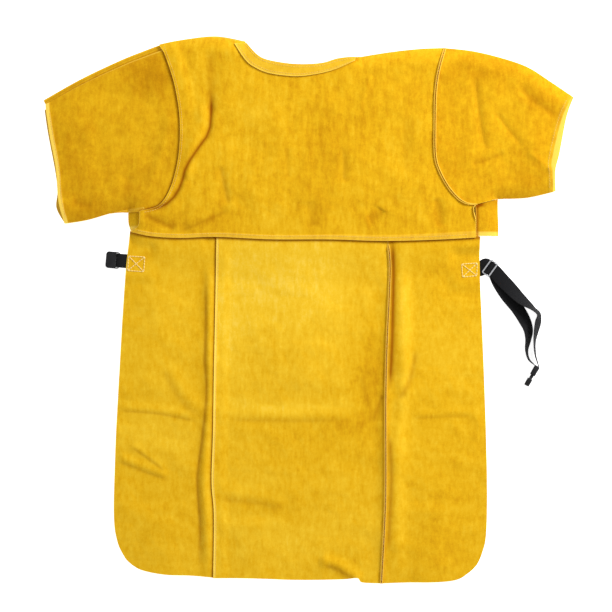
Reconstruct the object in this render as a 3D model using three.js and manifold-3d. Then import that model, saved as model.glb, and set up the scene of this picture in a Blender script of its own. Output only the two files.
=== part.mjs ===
// Short-sleeved leather apron lying face up. Millimetres, +Z up, its neck towards +Y.
import * as THREE from "three";
import { mergeVertices } from "three/addons/utils/BufferGeometryUtils.js";
import Module from "manifold-3d";

const wasm = await Module();
wasm.setup();

// Driving dimensions.
const LEATHER = 1.6;
const GAP = 0.45;
const LAP = LEATHER + GAP;
const REST = LEATHER / 2;
const HEM_THICK = 3.2;
const CHEST_RISE = 17;
const SLEEVE_RISE = 14;
const HEM_RISE = 13;
const SEAM_RISE = 5;
const ROLL = 30;
const TUCK = 9;
const SLEEVE_WRAP = 10;
const FLANGE = 5.5;
const SPLAY = THREE.MathUtils.degToRad(110);
const SKIRT_DROP = 85;
const CENTRE_X = -9;
const BACK_OVERLAP = 15;
const BACK_HEM_Y = 140;
const CLOSURE = { width: 24, length: 96, thick: 1.2, y: 300 };
const WEBBING = { width: 25, thick: 1.4 };
const SLIDER = { x: 327.8, y: 76.5, z: 4.7, turn: -36, bar: 2.4, window: 4.6, thick: 1.8, inside: 26 };
const PLUG = { x: 402, y: -117.5, z: 16.1, heading: -120, lean: 9, width: 31, length: 40, thick: 9, base: 18,
  bar: 3, slot: 4.4, neck: 5, head: 8.5, guide: 4 };
const SOCKET = { x: -351.5, z: 5, length: 25, width: 30, thick: 10, bar: 3, wall: 2 };
const WEB_WINDOW = WEBBING.width / 2 + 0.7;
const STUB = { x: -309.6, y: 87.3, turn: -5 };
const ANCHOR = { x: 293, y: 73.8 };
const PATCH = { length: 44, width: 44, margin: 22 };

// Lines of the sewing pattern as it lies. Each runs in the direction that its name gives.
const LINES = {
  leftTopFromCuff: [[-477, 378.9], [-410.4, 416.7], [-338.4, 450.9], [-293.4, 468.9], [-264.6, 479.7]],
  leftShoulderToNeck: [[-264.6, 479.7], [-221.4, 488.7], [-165.6, 494.1], [-113.4, 485.1]],
  neckToRight: [[-113.4, 485.1], [-90, 459.9], [-68.4, 449.1], [-21.6, 441.9], [25.2, 443.7], [57.6, 452.7],
    [97.2, 456.3]],
  bandToRight: [[-135, 484], [-113.4, 450.9], [-95.4, 436.5], [-68.4, 425.7], [-23.4, 420.3], [12.6, 423.9],
    [48.6, 432.9], [88, 450.5]],
  backNeckToRight: [[-113.4, 485.1], [-98, 460], [-70, 442], [-20, 433], [30, 435], [62, 444], [97.2, 456.3]],
  rightShoulderFromNeck: [[97.2, 456.3], [151.2, 465.3], [201.6, 470.7], [246.6, 472.5]],
  rightTopToCuff: [[246.6, 472.5], [295.2, 467.1], [345.6, 455.4], [396, 438.3], [439.2, 411.3],
    [478.8, 384.3]],
  leftCuffDown: [[-473.4, 377.1], [-464.4, 315.9], [-452.7, 252.9], [-446.4, 198.9], [-435.6, 157.5]],
  leftBackCuffDown: [[-477, 378.9], [-469.8, 324.9], [-456, 252], [-451.8, 215], [-453.6, 184.5],
    [-438, 156.5]],
  rightCuffDown: [[475.2, 385.2], [459, 351.9], [446.4, 308.7], [437.4, 265.5], [439.2, 249.3], [441, 213.3]],
  rightBackCuffDown: [[478.8, 384.3], [466.2, 348.3], [453.6, 283.5], [446.4, 252.9], [446.4, 215.1]],
  leftUnderarm: [[-436.5, 156.5], [-396, 162.9], [-352.8, 175.5], [-324, 181.8]],
  leftArmpit: [[-324, 181.8], [-302.4, 179.1]],
  rightUnderarm: [[446.4, 215.1], [399.6, 204.3], [342, 200.7]],
  rightArmpit: [[342, 200.7], [304, 190.5]],
  leftArmholeUp: [[-302.4, 179.1], [-268.9, 188.6], [-248.4, 216.9], [-235.8, 258.3], [-230.4, 299.7],
    [-230.4, 345.4], [-235.8, 386.6], [-245, 425], [-264.6, 479.7]],
  rightArmholeUp: [[304, 190.5], [279, 195], [255.6, 216.9], [237.6, 247.5], [228.5, 278.1], [227.7, 335.7],
    [229.1, 391.5], [235.1, 432.9], [246.6, 472.5]],
  leftSideUp: [[-319.8, 146], [-322, 152], [-324, 160], [-324, 181.8]],
  rightSideUp: [[343.8, 134.1], [342, 200.7]],
  leftSeamUp: [[-318.6, 141.3], [-305.1, 153.9], [-302.4, 179.1]],
  rightSeamUp: [[298, 131], [298, 186]],
  hemToRight: [[-318.6, 141.3], [-282.6, 133.6], [-230.4, 130.5], [-163.8, 132.3], [-66.6, 128], [39.6, 127.8],
    [131.4, 125.1], [219.6, 126.9], [298, 131]],
  skirtLeftDown: [[-322.2, 136], [-331.2, 36.9], [-342, -143.1], [-347.4, -251.1], [-350.1, -368.1],
    [-343.8, -416.7], [-324, -452.7]],
  skirtRightDown: [[309.6, 129], [309.6, 72.9], [315, -53.1], [320.4, -197.1], [323.1, -323.1], [321.3, -404.1],
    [315, -434.7], [298.8, -465.3]],
  skirtTopLeft: [[-322.2, 136], [-300, 137.5], [-270, 141], [-154, 140]],
  skirtTopCentre: [[-164.5, 140], [-30, 137], [141.3, 134]],
  skirtTopRight: [[143.1, 134], [250, 137], [288, 139], [309.6, 129]],
  skirtHemLeft: [[-324, -452.7], [-297, -468.9], [-257.4, -476.1], [-208.8, -477.9], [-161, -482]],
  skirtHemCentre: [[-171, -482.6], [-93.6, -483.3], [-21.6, -486], [57.6, -485.1], [88.2, -482.4],
    [97.2, -490.5], [131.2, -492.3]],
  skirtHemRight: [[133, -492.3], [183.6, -490.5], [237.6, -489.6], [270, -485.1], [298.8, -465.3]],
  leftSkirtSeamDown: [[-164.5, 140], [-167.6, -9.4], [-169.7, -112.3], [-171.2, -215.1], [-173.9, -307.6],
    [-169.7, -369.4], [-171, -482.6]],
  rightSkirtSeamDown: [[142.2, 134], [147.6, 83.7], [145.8, 17.1], [142.2, -60.3], [139.9, -162.9],
    [139.9, -317.7], [137.3, -395.1], [132.1, -492.3]],
};

// Folds of the chest and the sleeves: a line, how far it stands up (or is pressed in) and how wide it is.
const CHEST_FOLDS = [
  { name: "armpit roll", line: [[-192, 375], [-195, 320], [-212, 270], [-224, 232]], rise: 4, width: 13 },
  { name: "armpit crease", line: [[-173, 380], [-174, 325], [-196, 283], [-215, 245], [-224, 215]], rise: -3,
    width: 9 },
  { name: "left chest crease", line: [[-155, 256], [-142, 190]], rise: -2.2, width: 9 },
  { name: "left chest ridge", line: [[-220, 150], [-128, 197]], rise: 2, width: 18 },
  { name: "middle crease", line: [[63, 289], [65, 231]], rise: -1.6, width: 10 },
  { name: "right hem dent", line: [[108, 160], [132, 182]], rise: -2.6, width: 14 },
  { name: "right side crease", line: [[232, 199], [239, 152]], rise: -2.4, width: 11 },
  { name: "left sleeve ridge", line: [[-415, 361], [-398, 205]], rise: 2, width: 32 },
  { name: "right sleeve crease", line: [[308, 364], [317, 280]], rise: -2.6, width: 12 },
  { name: "right sleeve pleat", line: [[342, 348], [363, 325]], rise: -2.4, width: 11 },
  { name: "right cuff ridge", line: [[400, 397], [417, 235]], rise: 2.2, width: 26 },
];

// Folds of the skirt panels, in the same columns.
const SKIRT_FOLDS = [
  { name: "left seam roll", line: [[-177, 110], [-179, 0], [-178, -143], [-184, -233], [-187, -314],
    [-182, -395], [-180, -500]], rise: 5, width: 10 },
  { name: "right seam lift", line: [[142, 110], [146, 17], [140, -163], [140, -318], [133, -500]], rise: 3,
    width: 12 },
  { name: "right seam roll", line: [[169, 110], [169, -35], [171, -143], [159, -233], [160, -341], [158, -500]],
    rise: 4.2, width: 15 },
  { name: "left storage fold", line: [[-350, -177], [-266, -181], [-195, -192]], rise: 1.8, width: 16 },
  { name: "centre storage fold", line: [[-150, -190], [-14, -192], [76, -190]], rise: 1.8, width: 18 },
  { name: "right storage fold", line: [[185, -192], [268, -186], [330, -186]], rise: 1.8, width: 16 },
  { name: "left slant crease", line: [[-352, -262], [-252, -298]], rise: 2.2, width: 14 },
  { name: "hem pleat", line: [[18, -449], [58, -464], [97, -492]], rise: 4, width: 13 },
  { name: "left wave", line: [[-268, 90], [-290, -160]], rise: 2, width: 42 },
  { name: "centre wave", line: [[-14, 100], [-20, -160]], rise: 2.4, width: 60 },
  { name: "left hem wave", line: [[-280, -340], [-262, -500]], rise: 2.2, width: 40 },
  { name: "centre hem wave", line: [[-100, -370], [-92, -510]], rise: 2, width: 45 },
  { name: "right hem wave", line: [[222, -340], [232, -510]], rise: 2.4, width: 40 },
];

// Shares of the way up an armhole at which both of its edges have a row of points.
const ARMHOLE_ROWS = [0, 0.035, 0.08, 0.14, 0.21, 0.29, 0.39, 0.5, 0.61, 0.72, 0.83, 0.92, 0.97, 1];

const group = new THREE.Group();
group.name = "welding_apron";

const smooth = THREE.MathUtils.smoothstep;
const lerp = THREE.MathUtils.lerp;

function addNode(name, geometry, color, roughness, metalness = 0) {
  const mesh = new THREE.Mesh(geometry, new THREE.MeshStandardMaterial({ color, roughness, metalness }));
  mesh.name = name;
  group.add(mesh);
}

const suede = (name, geometry) => addNode(name, geometry, 0xe6ae28, 0.95);
const webbing = (name, geometry) => addNode(name, geometry, 0x232326, 0.85);

// A line through its points, and the same line moved to its left.
function line(name) {
  return new THREE.SplineCurve(LINES[name].map(([x, y]) => new THREE.Vector2(x, y)));
}

function beside(curve, distance, count = 32) {
  const points = [];
  for (let i = 0; i <= count; i++) {
    const p = curve.getPointAt(i / count);
    const t = curve.getTangentAt(i / count);
    points.push(new THREE.Vector2(p.x - t.y * distance, p.y + t.x * distance));
  }
  return new THREE.SplineCurve(points);
}

const along = (curve) => (t) => curve.getPointAt(Math.min(Math.max(t, 0), 1));
const reversed = (edge) => (t) => edge(1 - t);

// Several edges run one after another, each taking its own share of the way.
function joined(...parts) {
  return (t) => {
    let start = 0;
    for (const [edge, end] of parts) {
      if (t <= end + 1e-9) {
        return edge((t - start) / (end - start));
      }
      start = end;
    }
    return parts[parts.length - 1][0](1);
  };
}

// A panel's flat shape, filled in between its four edges.
function panel(bottom, top, left, right) {
  const c00 = bottom(0);
  const c10 = bottom(1);
  const c01 = top(0);
  const c11 = top(1);
  const mix = (u, v, k) => (1 - u) * left(v)[k] + u * right(v)[k] + (1 - v) * bottom(u)[k] + v * top(u)[k]
    - (1 - u) * (1 - v) * c00[k] - u * (1 - v) * c10[k] - (1 - u) * v * c01[k] - u * v * c11[k];
  return (u, v) => new THREE.Vector2(mix(u, v, "x"), mix(u, v, "y"));
}

function steps(count, from = 0, to = 1) {
  return Array.from({ length: count + 1 }, (_, i) => from + ((to - from) * i) / count);
}

// The nearest distance from a point to a chain of points, and how far along the chain it lies.
function nearest(chain, x, y) {
  let best = { distance: Infinity, along: 0 };
  for (let i = 0; i + 1 < chain.length; i++) {
    const [ax, ay] = chain[i];
    const dx = chain[i + 1][0] - ax;
    const dy = chain[i + 1][1] - ay;
    const t = Math.min(Math.max(((x - ax) * dx + (y - ay) * dy) / (dx * dx + dy * dy), 0), 1);
    const distance = Math.hypot(x - ax - t * dx, y - ay - t * dy);
    if (distance < best.distance) {
      best = { distance, along: (i + t) / (chain.length - 1) };
    }
  }
  return best;
}

const chainOf = (name) => steps(48).map((t) => line(name).getPointAt(t).toArray());
const CLOSED = ["leftTopFromCuff", "leftShoulderToNeck", "rightShoulderFromNeck", "rightTopToCuff",
  "leftUnderarm", "leftSideUp", "rightUnderarm", "rightSideUp"].map(chainOf);
const LEFT_ARMHOLE = chainOf("leftArmholeUp");
const LEFT_SKIRT_SEAM = chainOf("leftSkirtSeamDown");
const RIGHT_SKIRT_SEAM = chainOf("rightSkirtSeamDown");
const HEM_LINE = chainOf("hemToRight");

const toEdge = (x, y) => Math.min(...CLOSED.map((chain) => nearest(chain, x, y).distance));

function folds(list, x, y) {
  let sum = 0;
  for (const fold of list) {
    const near = nearest(fold.line, x, y);
    const ends = smooth(near.along, 0, 0.2) * smooth(1 - near.along, 0, 0.2);
    sum += fold.rise * ends * Math.exp(-((near.distance / fold.width) ** 2));
  }
  return sum;
}

// Middle of the front layer above the surface: it rises from the closed edges in a soft roll.
function frontHeight(x, y) {
  const rise = lerp(CHEST_RISE, SLEEVE_RISE, smooth(Math.abs(x), 200, 300));
  const top = lerp(HEM_RISE, rise, smooth(y, 128, 230));
  const near = Math.min(toEdge(x, y) / ROLL, 1);
  const roll = 1 - (1 - near) ** 2.2;
  return SEAM_RISE + (top - SEAM_RISE) * roll + folds(CHEST_FOLDS, x, y) * smooth(near, 0.2, 1);
}

// Middle of the back layer: it lies on the surface and lifts at the closed edges.
function backHeight(x, y) {
  const near = Math.min(toEdge(x, y) / 18, 1);
  return REST + (SEAM_RISE - LAP - REST) * (1 - near) ** 2;
}

function hemY(x) {
  let i = 0;
  while (i + 2 < HEM_LINE.length && HEM_LINE[i + 1][0] < x) {
    i += 1;
  }
  const [ax, ay] = HEM_LINE[i];
  const [bx, by] = HEM_LINE[i + 1];
  return lerp(ay, by, Math.min(Math.max((x - ax) / (bx - ax), 0), 1));
}

function patchOver(x, y, centre) {
  const away = (value, half) => 1 - smooth(Math.abs(value), half, half + PATCH.margin);
  return away(x - centre.x, PATCH.length / 2) * away(y - centre.y, PATCH.width / 2);
}

// Middle of the skirt: from under the hem down to the surface, lifted where webbing is sewn beneath.
function skirtHeight(x, y) {
  const hem = hemY(x);
  const under = frontHeight(x, hem) - HEM_THICK / 2 - GAP - LEATHER / 2;
  const drop = 1 - smooth(hem - y, 0, SKIRT_DROP);
  const dip = 1.6 * Math.exp(-((nearest(RIGHT_SKIRT_SEAM, x, y).distance / 12) ** 2)) * drop;
  const cloth = REST + (under - REST) * drop - dip + folds(SKIRT_FOLDS, x, y) * (1 - drop);
  const left = patchOver(x, y, STUB);
  const right = patchOver(x, y, ANCHOR);
  const overLeft = 2 * WEBBING.thick + 2.5 * GAP + LEATHER / 2 + 0.3;
  const overRight = WEBBING.thick + GAP + LEATHER / 2 + 0.6;
  return cloth * (1 - left) * (1 - right) + overLeft * left + overRight * right;
}

// A closed mesh from a grid of points on a sheet's middle surface.
function wall(grid, thickness = () => LEATHER) {
  const rows = grid.length;
  const columns = grid[0].length;
  const points = [];
  const faces = [];
  const pick = (i, j) => grid[Math.min(Math.max(i, 0), rows - 1)][Math.min(Math.max(j, 0), columns - 1)];
  for (let i = 0; i < rows; i++) {
    for (let j = 0; j < columns; j++) {
      const across = pick(i, j + 1).clone().sub(pick(i, j - 1)).normalize();
      const up = pick(i + 1, j).clone().sub(pick(i - 1, j)).normalize();
      const normal = across.cross(up).normalize().multiplyScalar(thickness(i, j) / 2);
      points.push(pick(i, j).clone().add(normal), pick(i, j).clone().sub(normal));
    }
  }
  const front = (i, j) => 2 * (i * columns + j);
  const back = (i, j) => front(i, j) + 1;
  const quad = (a, b, c, d) => faces.push([a, b, c], [a, c, d]);
  for (let i = 0; i + 1 < rows; i++) {
    for (let j = 0; j + 1 < columns; j++) {
      quad(front(i, j), front(i, j + 1), front(i + 1, j + 1), front(i + 1, j));
      quad(back(i, j), back(i + 1, j), back(i + 1, j + 1), back(i, j + 1));
    }
  }
  for (let j = 0; j + 1 < columns; j++) {
    quad(front(0, j), back(0, j), back(0, j + 1), front(0, j + 1));
    quad(front(rows - 1, j + 1), back(rows - 1, j + 1), back(rows - 1, j), front(rows - 1, j));
  }
  for (let i = 0; i + 1 < rows; i++) {
    quad(front(i + 1, 0), back(i + 1, 0), back(i, 0), front(i, 0));
    quad(front(i, columns - 1), back(i, columns - 1), back(i + 1, columns - 1), front(i + 1, columns - 1));
  }
  return geometryFrom(points, faces);
}

function geometryFrom(points, faces) {
  const volume = faces.reduce((sum, [a, b, c]) => sum + points[a].dot(points[b].clone().cross(points[c])), 0);
  const order = volume < 0 ? faces.map(([a, b, c]) => [a, c, b]) : faces;
  const geometry = new THREE.BufferGeometry();
  geometry.setAttribute("position", new THREE.Float32BufferAttribute(points.flatMap((p) => p.toArray()), 3));
  geometry.setIndex(order.flat());
  geometry.computeVertexNormals();
  return geometry;
}

const lay = (shape, columns, rows, height) => rows.map((v) => columns.map((u) => {
  const p = shape(u, v);
  return new THREE.Vector3(p.x, p.y, height(p.x, p.y));
}));

// Edges turned up along a seam: extra columns past one side of a grid, with an angle and a length for each row.
function turnUp(grid, side, turn) {
  return grid.map((row, i) => {
    const last = side === "right" ? row[row.length - 1] : row[0];
    const inner = side === "right" ? row[row.length - 2] : row[1];
    const out = last.clone().sub(inner).setZ(0).normalize();
    const { angle, length } = turn(i);
    const reach = (k) => last.clone().addScaledVector(out, Math.cos(angle) * length * k)
      .add(new THREE.Vector3(0, 0, Math.sin(angle) * length * k));
    const extra = [0.4, 1].map(reach);
    return side === "right" ? [...row, ...extra] : [...extra.reverse(), ...row];
  });
}

// A solid that can be joined and cut, from a closed geometry's positions, and back again.
function toSolid(geometry) {
  geometry.deleteAttribute("normal");
  geometry.deleteAttribute("uv");
  const merged = mergeVertices(geometry);
  return new wasm.Manifold(new wasm.Mesh({
    numProp: 3,
    vertProperties: new Float32Array(merged.attributes.position.array),
    triVerts: new Uint32Array(merged.index.array),
  }));
}

function toGeometry(solid) {
  const mesh = solid.getMesh();
  const geometry = new THREE.BufferGeometry();
  geometry.setAttribute("position", new THREE.Float32BufferAttribute(mesh.vertProperties, 3));
  geometry.setIndex(Array.from(mesh.triVerts));
  geometry.computeVertexNormals();
  return geometry;
}

// Chest panel. Its left armhole edge lies over the sleeve; the right one is turned up beside the sleeve's edge.
const SIDE_SHARE = 0.14;
const SHOULDER_SHARE = 0.3;
const NECK_SHARE = 0.71;
const seamHalf = LEATHER / 2 + GAP / 2;
const yokeShape = panel(
  along(line("hemToRight")),
  joined([along(beside(line("leftShoulderToNeck"), -3)), SHOULDER_SHARE],
    [along(line("neckToRight")), NECK_SHARE], [along(line("rightShoulderFromNeck")), 1]),
  joined([along(line("leftSeamUp")), SIDE_SHARE], [along(line("leftArmholeUp")), 1]),
  joined([along(line("rightSeamUp")), SIDE_SHARE], [along(beside(line("rightArmholeUp"), seamHalf)), 1]),
);
function yokeHeight(x, y) {
  const lap = nearest(LEFT_ARMHOLE, x, y);
  const raised = 1 - smooth(lap.distance, TUCK + 5, TUCK + 26);
  return frontHeight(x, y) + (LAP + 0.75) * raised;
}
const yokeRows = [0, 0.026, 0.034, 0.085, ...ARMHOLE_ROWS.map((t) => lerp(SIDE_SHARE, 1, t))];
const yokeColumns = [0, 0.025, 0.055, 0.09, 0.13, 0.175, 0.235, SHOULDER_SHARE,
  ...steps(9, SHOULDER_SHARE, NECK_SHARE).slice(1), 0.77, 0.83, 0.89, 0.94, 0.975, 1];
const yokeFlat = lay(yokeShape, yokeColumns, yokeRows, yokeHeight);
const yokeTurn = (i) => ({ angle: SPLAY * smooth(yokeRows[i], 0.05, 0.14), length: FLANGE });
suede("yoke_front", wall(turnUp(yokeFlat, "right", yokeTurn),
  (i) => (yokeRows[i] < 0.03 ? HEM_THICK : LEATHER)));

// Band along the front neckline, lying on the chest panel.
const bandShape = panel(along(line("bandToRight")), along(line("neckToRight")),
  (v) => line("bandToRight").getPointAt(0).lerp(line("neckToRight").getPointAt(0.005), v),
  (v) => line("bandToRight").getPointAt(1).lerp(line("neckToRight").getPointAt(0.97), v));
const bandHeight = (x, y) => frontHeight(x, y) + LAP + 0.35;
suede("neck_band", wall(lay(bandShape, steps(24, 0.02, 0.98), steps(2, 0, 0.98), bandHeight)));

// Back halves: flat panels with a strip that wraps round each side up to the front seam. The strip's upper end
// slants down inwards, along the sleeve's lower edge.
function sideStrip({ sideName, reach, inward, share, slant }) {
  const side = line(sideName);
  const across = [];
  for (const d of [reach + 3, reach * 0.75, reach * 0.5, 9, 4.5]) {
    across.push({ d, top: true });
  }
  across.push({ d: 1.6, z: 3.9 }, { d: 0.85, z: 2.7 }, { d: 1.7, z: 1.5 }, { d: 5, z: REST });
  across.push({ d: 12, z: REST }, { d: 22, z: REST });
  const rows = steps(6).map((v) => across.map(({ d, z, top }) => {
    const p = side.getPointAt(v * share);
    const x = p.x + inward * d;
    const y = p.y - slant * d * v ** 3;
    const under = LAP + 0.1 + (HEM_THICK - LEATHER) * 0.6 * (1 - smooth(y, 142, 158));
    return new THREE.Vector3(x, y, top ? frontHeight(x, y) - under : z);
  }));
  return wall(rows);
}
const backGap = 2 * GAP;
const backTop = line("backNeckToRight");
const middle = 0.5;
const leftBackArmhole = beside(line("leftArmholeUp"), -backGap);
const rightBackArmhole = beside(line("rightArmholeUp"), backGap);
const ARMPIT_SHARE = 0.19;
const LEFT_FOOT = new THREE.Vector2(-310, 152);
const LEFT_PIT = new THREE.Vector2(-313, 176.5);
const RIGHT_FOOT = new THREE.Vector2(330, 135);
const RIGHT_PIT = new THREE.Vector2(331, 191.5);
const backRows = [0, 0.07, SIDE_SHARE, ...ARMHOLE_ROWS.map((t) => lerp(ARMPIT_SHARE, 1, t))];
const leftBack = panel(
  (u) => new THREE.Vector2(lerp(LEFT_FOOT.x, CENTRE_X + BACK_OVERLAP, u),
    lerp(LEFT_FOOT.y, BACK_HEM_Y, smooth(u, 0, 0.2))),
  joined([along(line("leftShoulderToNeck")), 0.55], [(t) => backTop.getPointAt(t * (middle + 0.04)), 1]),
  joined([(t) => LEFT_FOOT.clone().lerp(LEFT_PIT, t), SIDE_SHARE],
    [(t) => LEFT_PIT.clone().lerp(leftBackArmhole.getPointAt(0), t), ARMPIT_SHARE],
    [along(leftBackArmhole), 1]),
  (v) => {
    const foot = new THREE.Vector2(CENTRE_X + BACK_OVERLAP, BACK_HEM_Y);
    return foot.lerp(backTop.getPointAt(middle + 0.04), v);
  },
);
const leftBackGrid = lay(leftBack, [0, 0.05, 0.13, 0.26, 0.42, 0.58, 0.75, 1], backRows, backHeight);
const leftStrip = sideStrip({ sideName: "leftSideUp", reach: 20, inward: 1, share: 0.945, slant: 0.13 });
suede("yoke_back_left", toGeometry(toSolid(wall(leftBackGrid)).add(toSolid(leftStrip))));

const closureLift = LEATHER + CLOSURE.thick + 2 * GAP;
const rightBackHeight = (x, y) => backHeight(x, y)
  + closureLift * (1 - smooth(x, CENTRE_X + BACK_OVERLAP + 4, CENTRE_X + BACK_OVERLAP + 40));
const rightBack = panel(
  (u) => new THREE.Vector2(CENTRE_X - BACK_OVERLAP, BACK_HEM_Y).lerp(RIGHT_FOOT, u),
  joined([(t) => backTop.getPointAt(lerp(middle - 0.08, 1, t)), 0.45],
    [along(line("rightShoulderFromNeck")), 1]),
  (v) => new THREE.Vector2(CENTRE_X - BACK_OVERLAP, BACK_HEM_Y).lerp(backTop.getPointAt(middle - 0.08), v),
  joined([(t) => RIGHT_FOOT.clone().lerp(RIGHT_PIT, t), SIDE_SHARE],
    [(t) => RIGHT_PIT.clone().lerp(rightBackArmhole.getPointAt(0), t), ARMPIT_SHARE],
    [along(rightBackArmhole), 1]),
);
const rightBackGrid = lay(rightBack, [0, 0.07, 0.14, 0.22, 0.38, 0.55, 0.72, 0.88, 1], backRows,
  rightBackHeight);
const rightStrip = sideStrip({ sideName: "rightSideUp", reach: 38, inward: -1, share: 0.985, slant: 0.285 });
suede("yoke_back_right", toGeometry(toSolid(wall(rightBackGrid)).add(toSolid(rightStrip))));

const closure = new THREE.BoxGeometry(CLOSURE.width, CLOSURE.length, CLOSURE.thick);
closure.translate(CENTRE_X, CLOSURE.y, LEATHER + GAP + CLOSURE.thick / 2);
webbing("back_closure", closure);

// Sleeves: a front half over a back half, closed along the top and the underarm.
const UNDER_SHARE = 0.86;
const hemRow = (columns) => (i, j) => (columns[j] < 0.07 ? HEM_THICK : LEATHER);
function sleeve(cuff, top, under, armhole) {
  return panel(under, top, reversed(cuff), armhole);
}
const sleeveColumns = [0, 0.05, 0.07, ...steps(6, 0.07, 0.86).slice(1), 0.93, 1];

const leftUnder = joined([along(line("leftUnderarm")), UNDER_SHARE], [along(line("leftArmpit")), 1]);
const leftTuck = beside(line("leftArmholeUp"), -TUCK);
const leftSeamTop = beside(line("leftTopFromCuff"), -SLEEVE_WRAP);
const leftFrontShape = sleeve(
  (t) => leftSeamTop.getPointAt(0.004).lerp(line("leftCuffDown").getPointAt(t), smooth(t, 0, 0.12)),
  (u) => leftSeamTop.getPointAt(Math.min(0.004 + u, 1)),
  joined([along(line("leftUnderarm")), UNDER_SHARE], [(t) => new THREE.Vector2(lerp(-324, -295, t),
    lerp(181.8, 186, t)), 1]),
  (t) => new THREE.Vector2(-295, 186).lerp(leftTuck.getPointAt(Math.min(t * 1.02, 0.965)), smooth(t, 0, 0.1)),
);
const leftFrontGrid = lay(leftFrontShape, sleeveColumns, ARMHOLE_ROWS, frontHeight);
suede("sleeve_front_left", wall(leftFrontGrid, hemRow(sleeveColumns)));

const leftBackShape = sleeve(along(line("leftBackCuffDown")), along(line("leftTopFromCuff")), leftUnder,
  along(beside(line("leftArmholeUp"), backGap)));
const wrapColumns = steps(8).map((t) => t * 0.99);
const wrapAcross = [{ d: 5, z: REST }, { d: 1.7, z: 1.5 }, { d: 0.85, z: 2.7 }, { d: 1.6, z: 3.9 },
  { d: 4.5, top: true }, { d: 8, top: true }, { d: SLEEVE_WRAP + 3, top: true }];
const leftBackRows = ARMHOLE_ROWS.slice(0, -2);
const leftSleeveGrid = lay(leftBackShape, wrapColumns, leftBackRows, backHeight);
for (const row of leftSleeveGrid.slice(-2)) {
  row.forEach((p) => p.setZ(REST));
}
const sleeveTop = line("leftTopFromCuff");
for (const { d, z, top } of wrapAcross) {
  leftSleeveGrid.push(wrapColumns.map((u) => {
    const p = sleeveTop.getPointAt(u);
    const t = sleeveTop.getTangentAt(u);
    const x = p.x + t.y * d;
    const y = p.y - t.x * d;
    const under = LAP + 0.1 + (HEM_THICK - LEATHER) * 0.6 * (1 - smooth(u, 0.06, 0.14));
    return new THREE.Vector3(x, y, top ? frontHeight(x, y) - under : z);
  }));
}
suede("sleeve_back_left", wall(leftSleeveGrid));

const rightUnder = joined([along(line("rightUnderarm")), UNDER_SHARE - 0.12], [along(line("rightArmpit")), 1]);
const rightTop = reversed(along(line("rightTopToCuff")));
const rightFrontShape = sleeve(along(line("rightCuffDown")), rightTop, rightUnder,
  along(beside(line("rightArmholeUp"), -seamHalf)));
const rightFlat = lay(rightFrontShape, sleeveColumns, ARMHOLE_ROWS, frontHeight);
const standing = (i) => ({ angle: SPLAY, length: lerp(1.2, FLANGE, smooth(ARMHOLE_ROWS[i], 0, 0.1)) });
suede("sleeve_front_right", wall(turnUp(rightFlat, "right", standing),
  hemRow(sleeveColumns)));
const rightBackShape = sleeve(along(line("rightBackCuffDown")), rightTop, rightUnder,
  along(beside(line("rightArmholeUp"), -backGap)));
suede("sleeve_back_right", wall(lay(rightBackShape, steps(7), ARMHOLE_ROWS, backHeight)));

// Skirt: three panels. The centre one laps over the left; at the right both edges are turned up.
const skirtRows = [0, 0.02, 0.045, 0.075, 0.11, 0.15, 0.2, ...steps(12, 0.2, 1).slice(1)];
const underHem = (x, y) => 1 - smooth(hemY(x) - y, 4, 40);
const lapShare = (x, y) => 1 - smooth(nearest(LEFT_SKIRT_SEAM, x, y).distance, TUCK + 3, TUCK + 22);
const leftLap = beside(line("leftSkirtSeamDown"), TUCK);
const skirtLeft = panel(along(line("skirtTopLeft")),
  (u) => line("skirtHemLeft").getPointAt(u), along(line("skirtLeftDown")), along(leftLap));
const leftHeight = (x, y) => skirtHeight(x, y) - (LAP + 0.1) * lapShare(x, y) * underHem(x, y);
const leftColumns = [0, 0.05, 0.12, 0.22, 0.34, 0.48, 0.62, 0.73, 0.81, 0.87, 0.91, 0.955, 1];
suede("skirt_left", wall(lay(skirtLeft, leftColumns, skirtRows, leftHeight)));

const centreHeight = (x, y) => skirtHeight(x, y) + (LAP + 0.1) * lapShare(x, y) * (1 - underHem(x, y));
const skirtCentre = panel(along(line("skirtTopCentre")), along(line("skirtHemCentre")),
  along(line("leftSkirtSeamDown")), along(beside(line("rightSkirtSeamDown"), -seamHalf)));
const centreColumns = [0, 0.02, 0.04, 0.07, 0.11, 0.19, 0.3, 0.42, 0.54, 0.66, 0.78, 0.87, 0.93, 0.97, 1];
const centreGrid = lay(skirtCentre, centreColumns, skirtRows, centreHeight);
const skirtTurn = (i) => ({ angle: SPLAY, length: skirtRows[i] < 0.03 ? 0.9 : FLANGE });
suede("skirt_centre", wall(turnUp(centreGrid, "right", skirtTurn)));

const skirtRight = panel(along(line("skirtTopRight")), along(line("skirtHemRight")),
  along(beside(line("rightSkirtSeamDown"), seamHalf)), along(line("skirtRightDown")));
const rightColumns = [0, 0.025, 0.06, 0.1, 0.15, 0.21, 0.28, 0.38, 0.5, 0.62, 0.74, 0.84, 0.92, 0.97, 1];
const rightGrid = lay(skirtRight, rightColumns, skirtRows, skirtHeight);
suede("skirt_right", wall(turnUp(rightGrid, "left", skirtTurn)));

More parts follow.
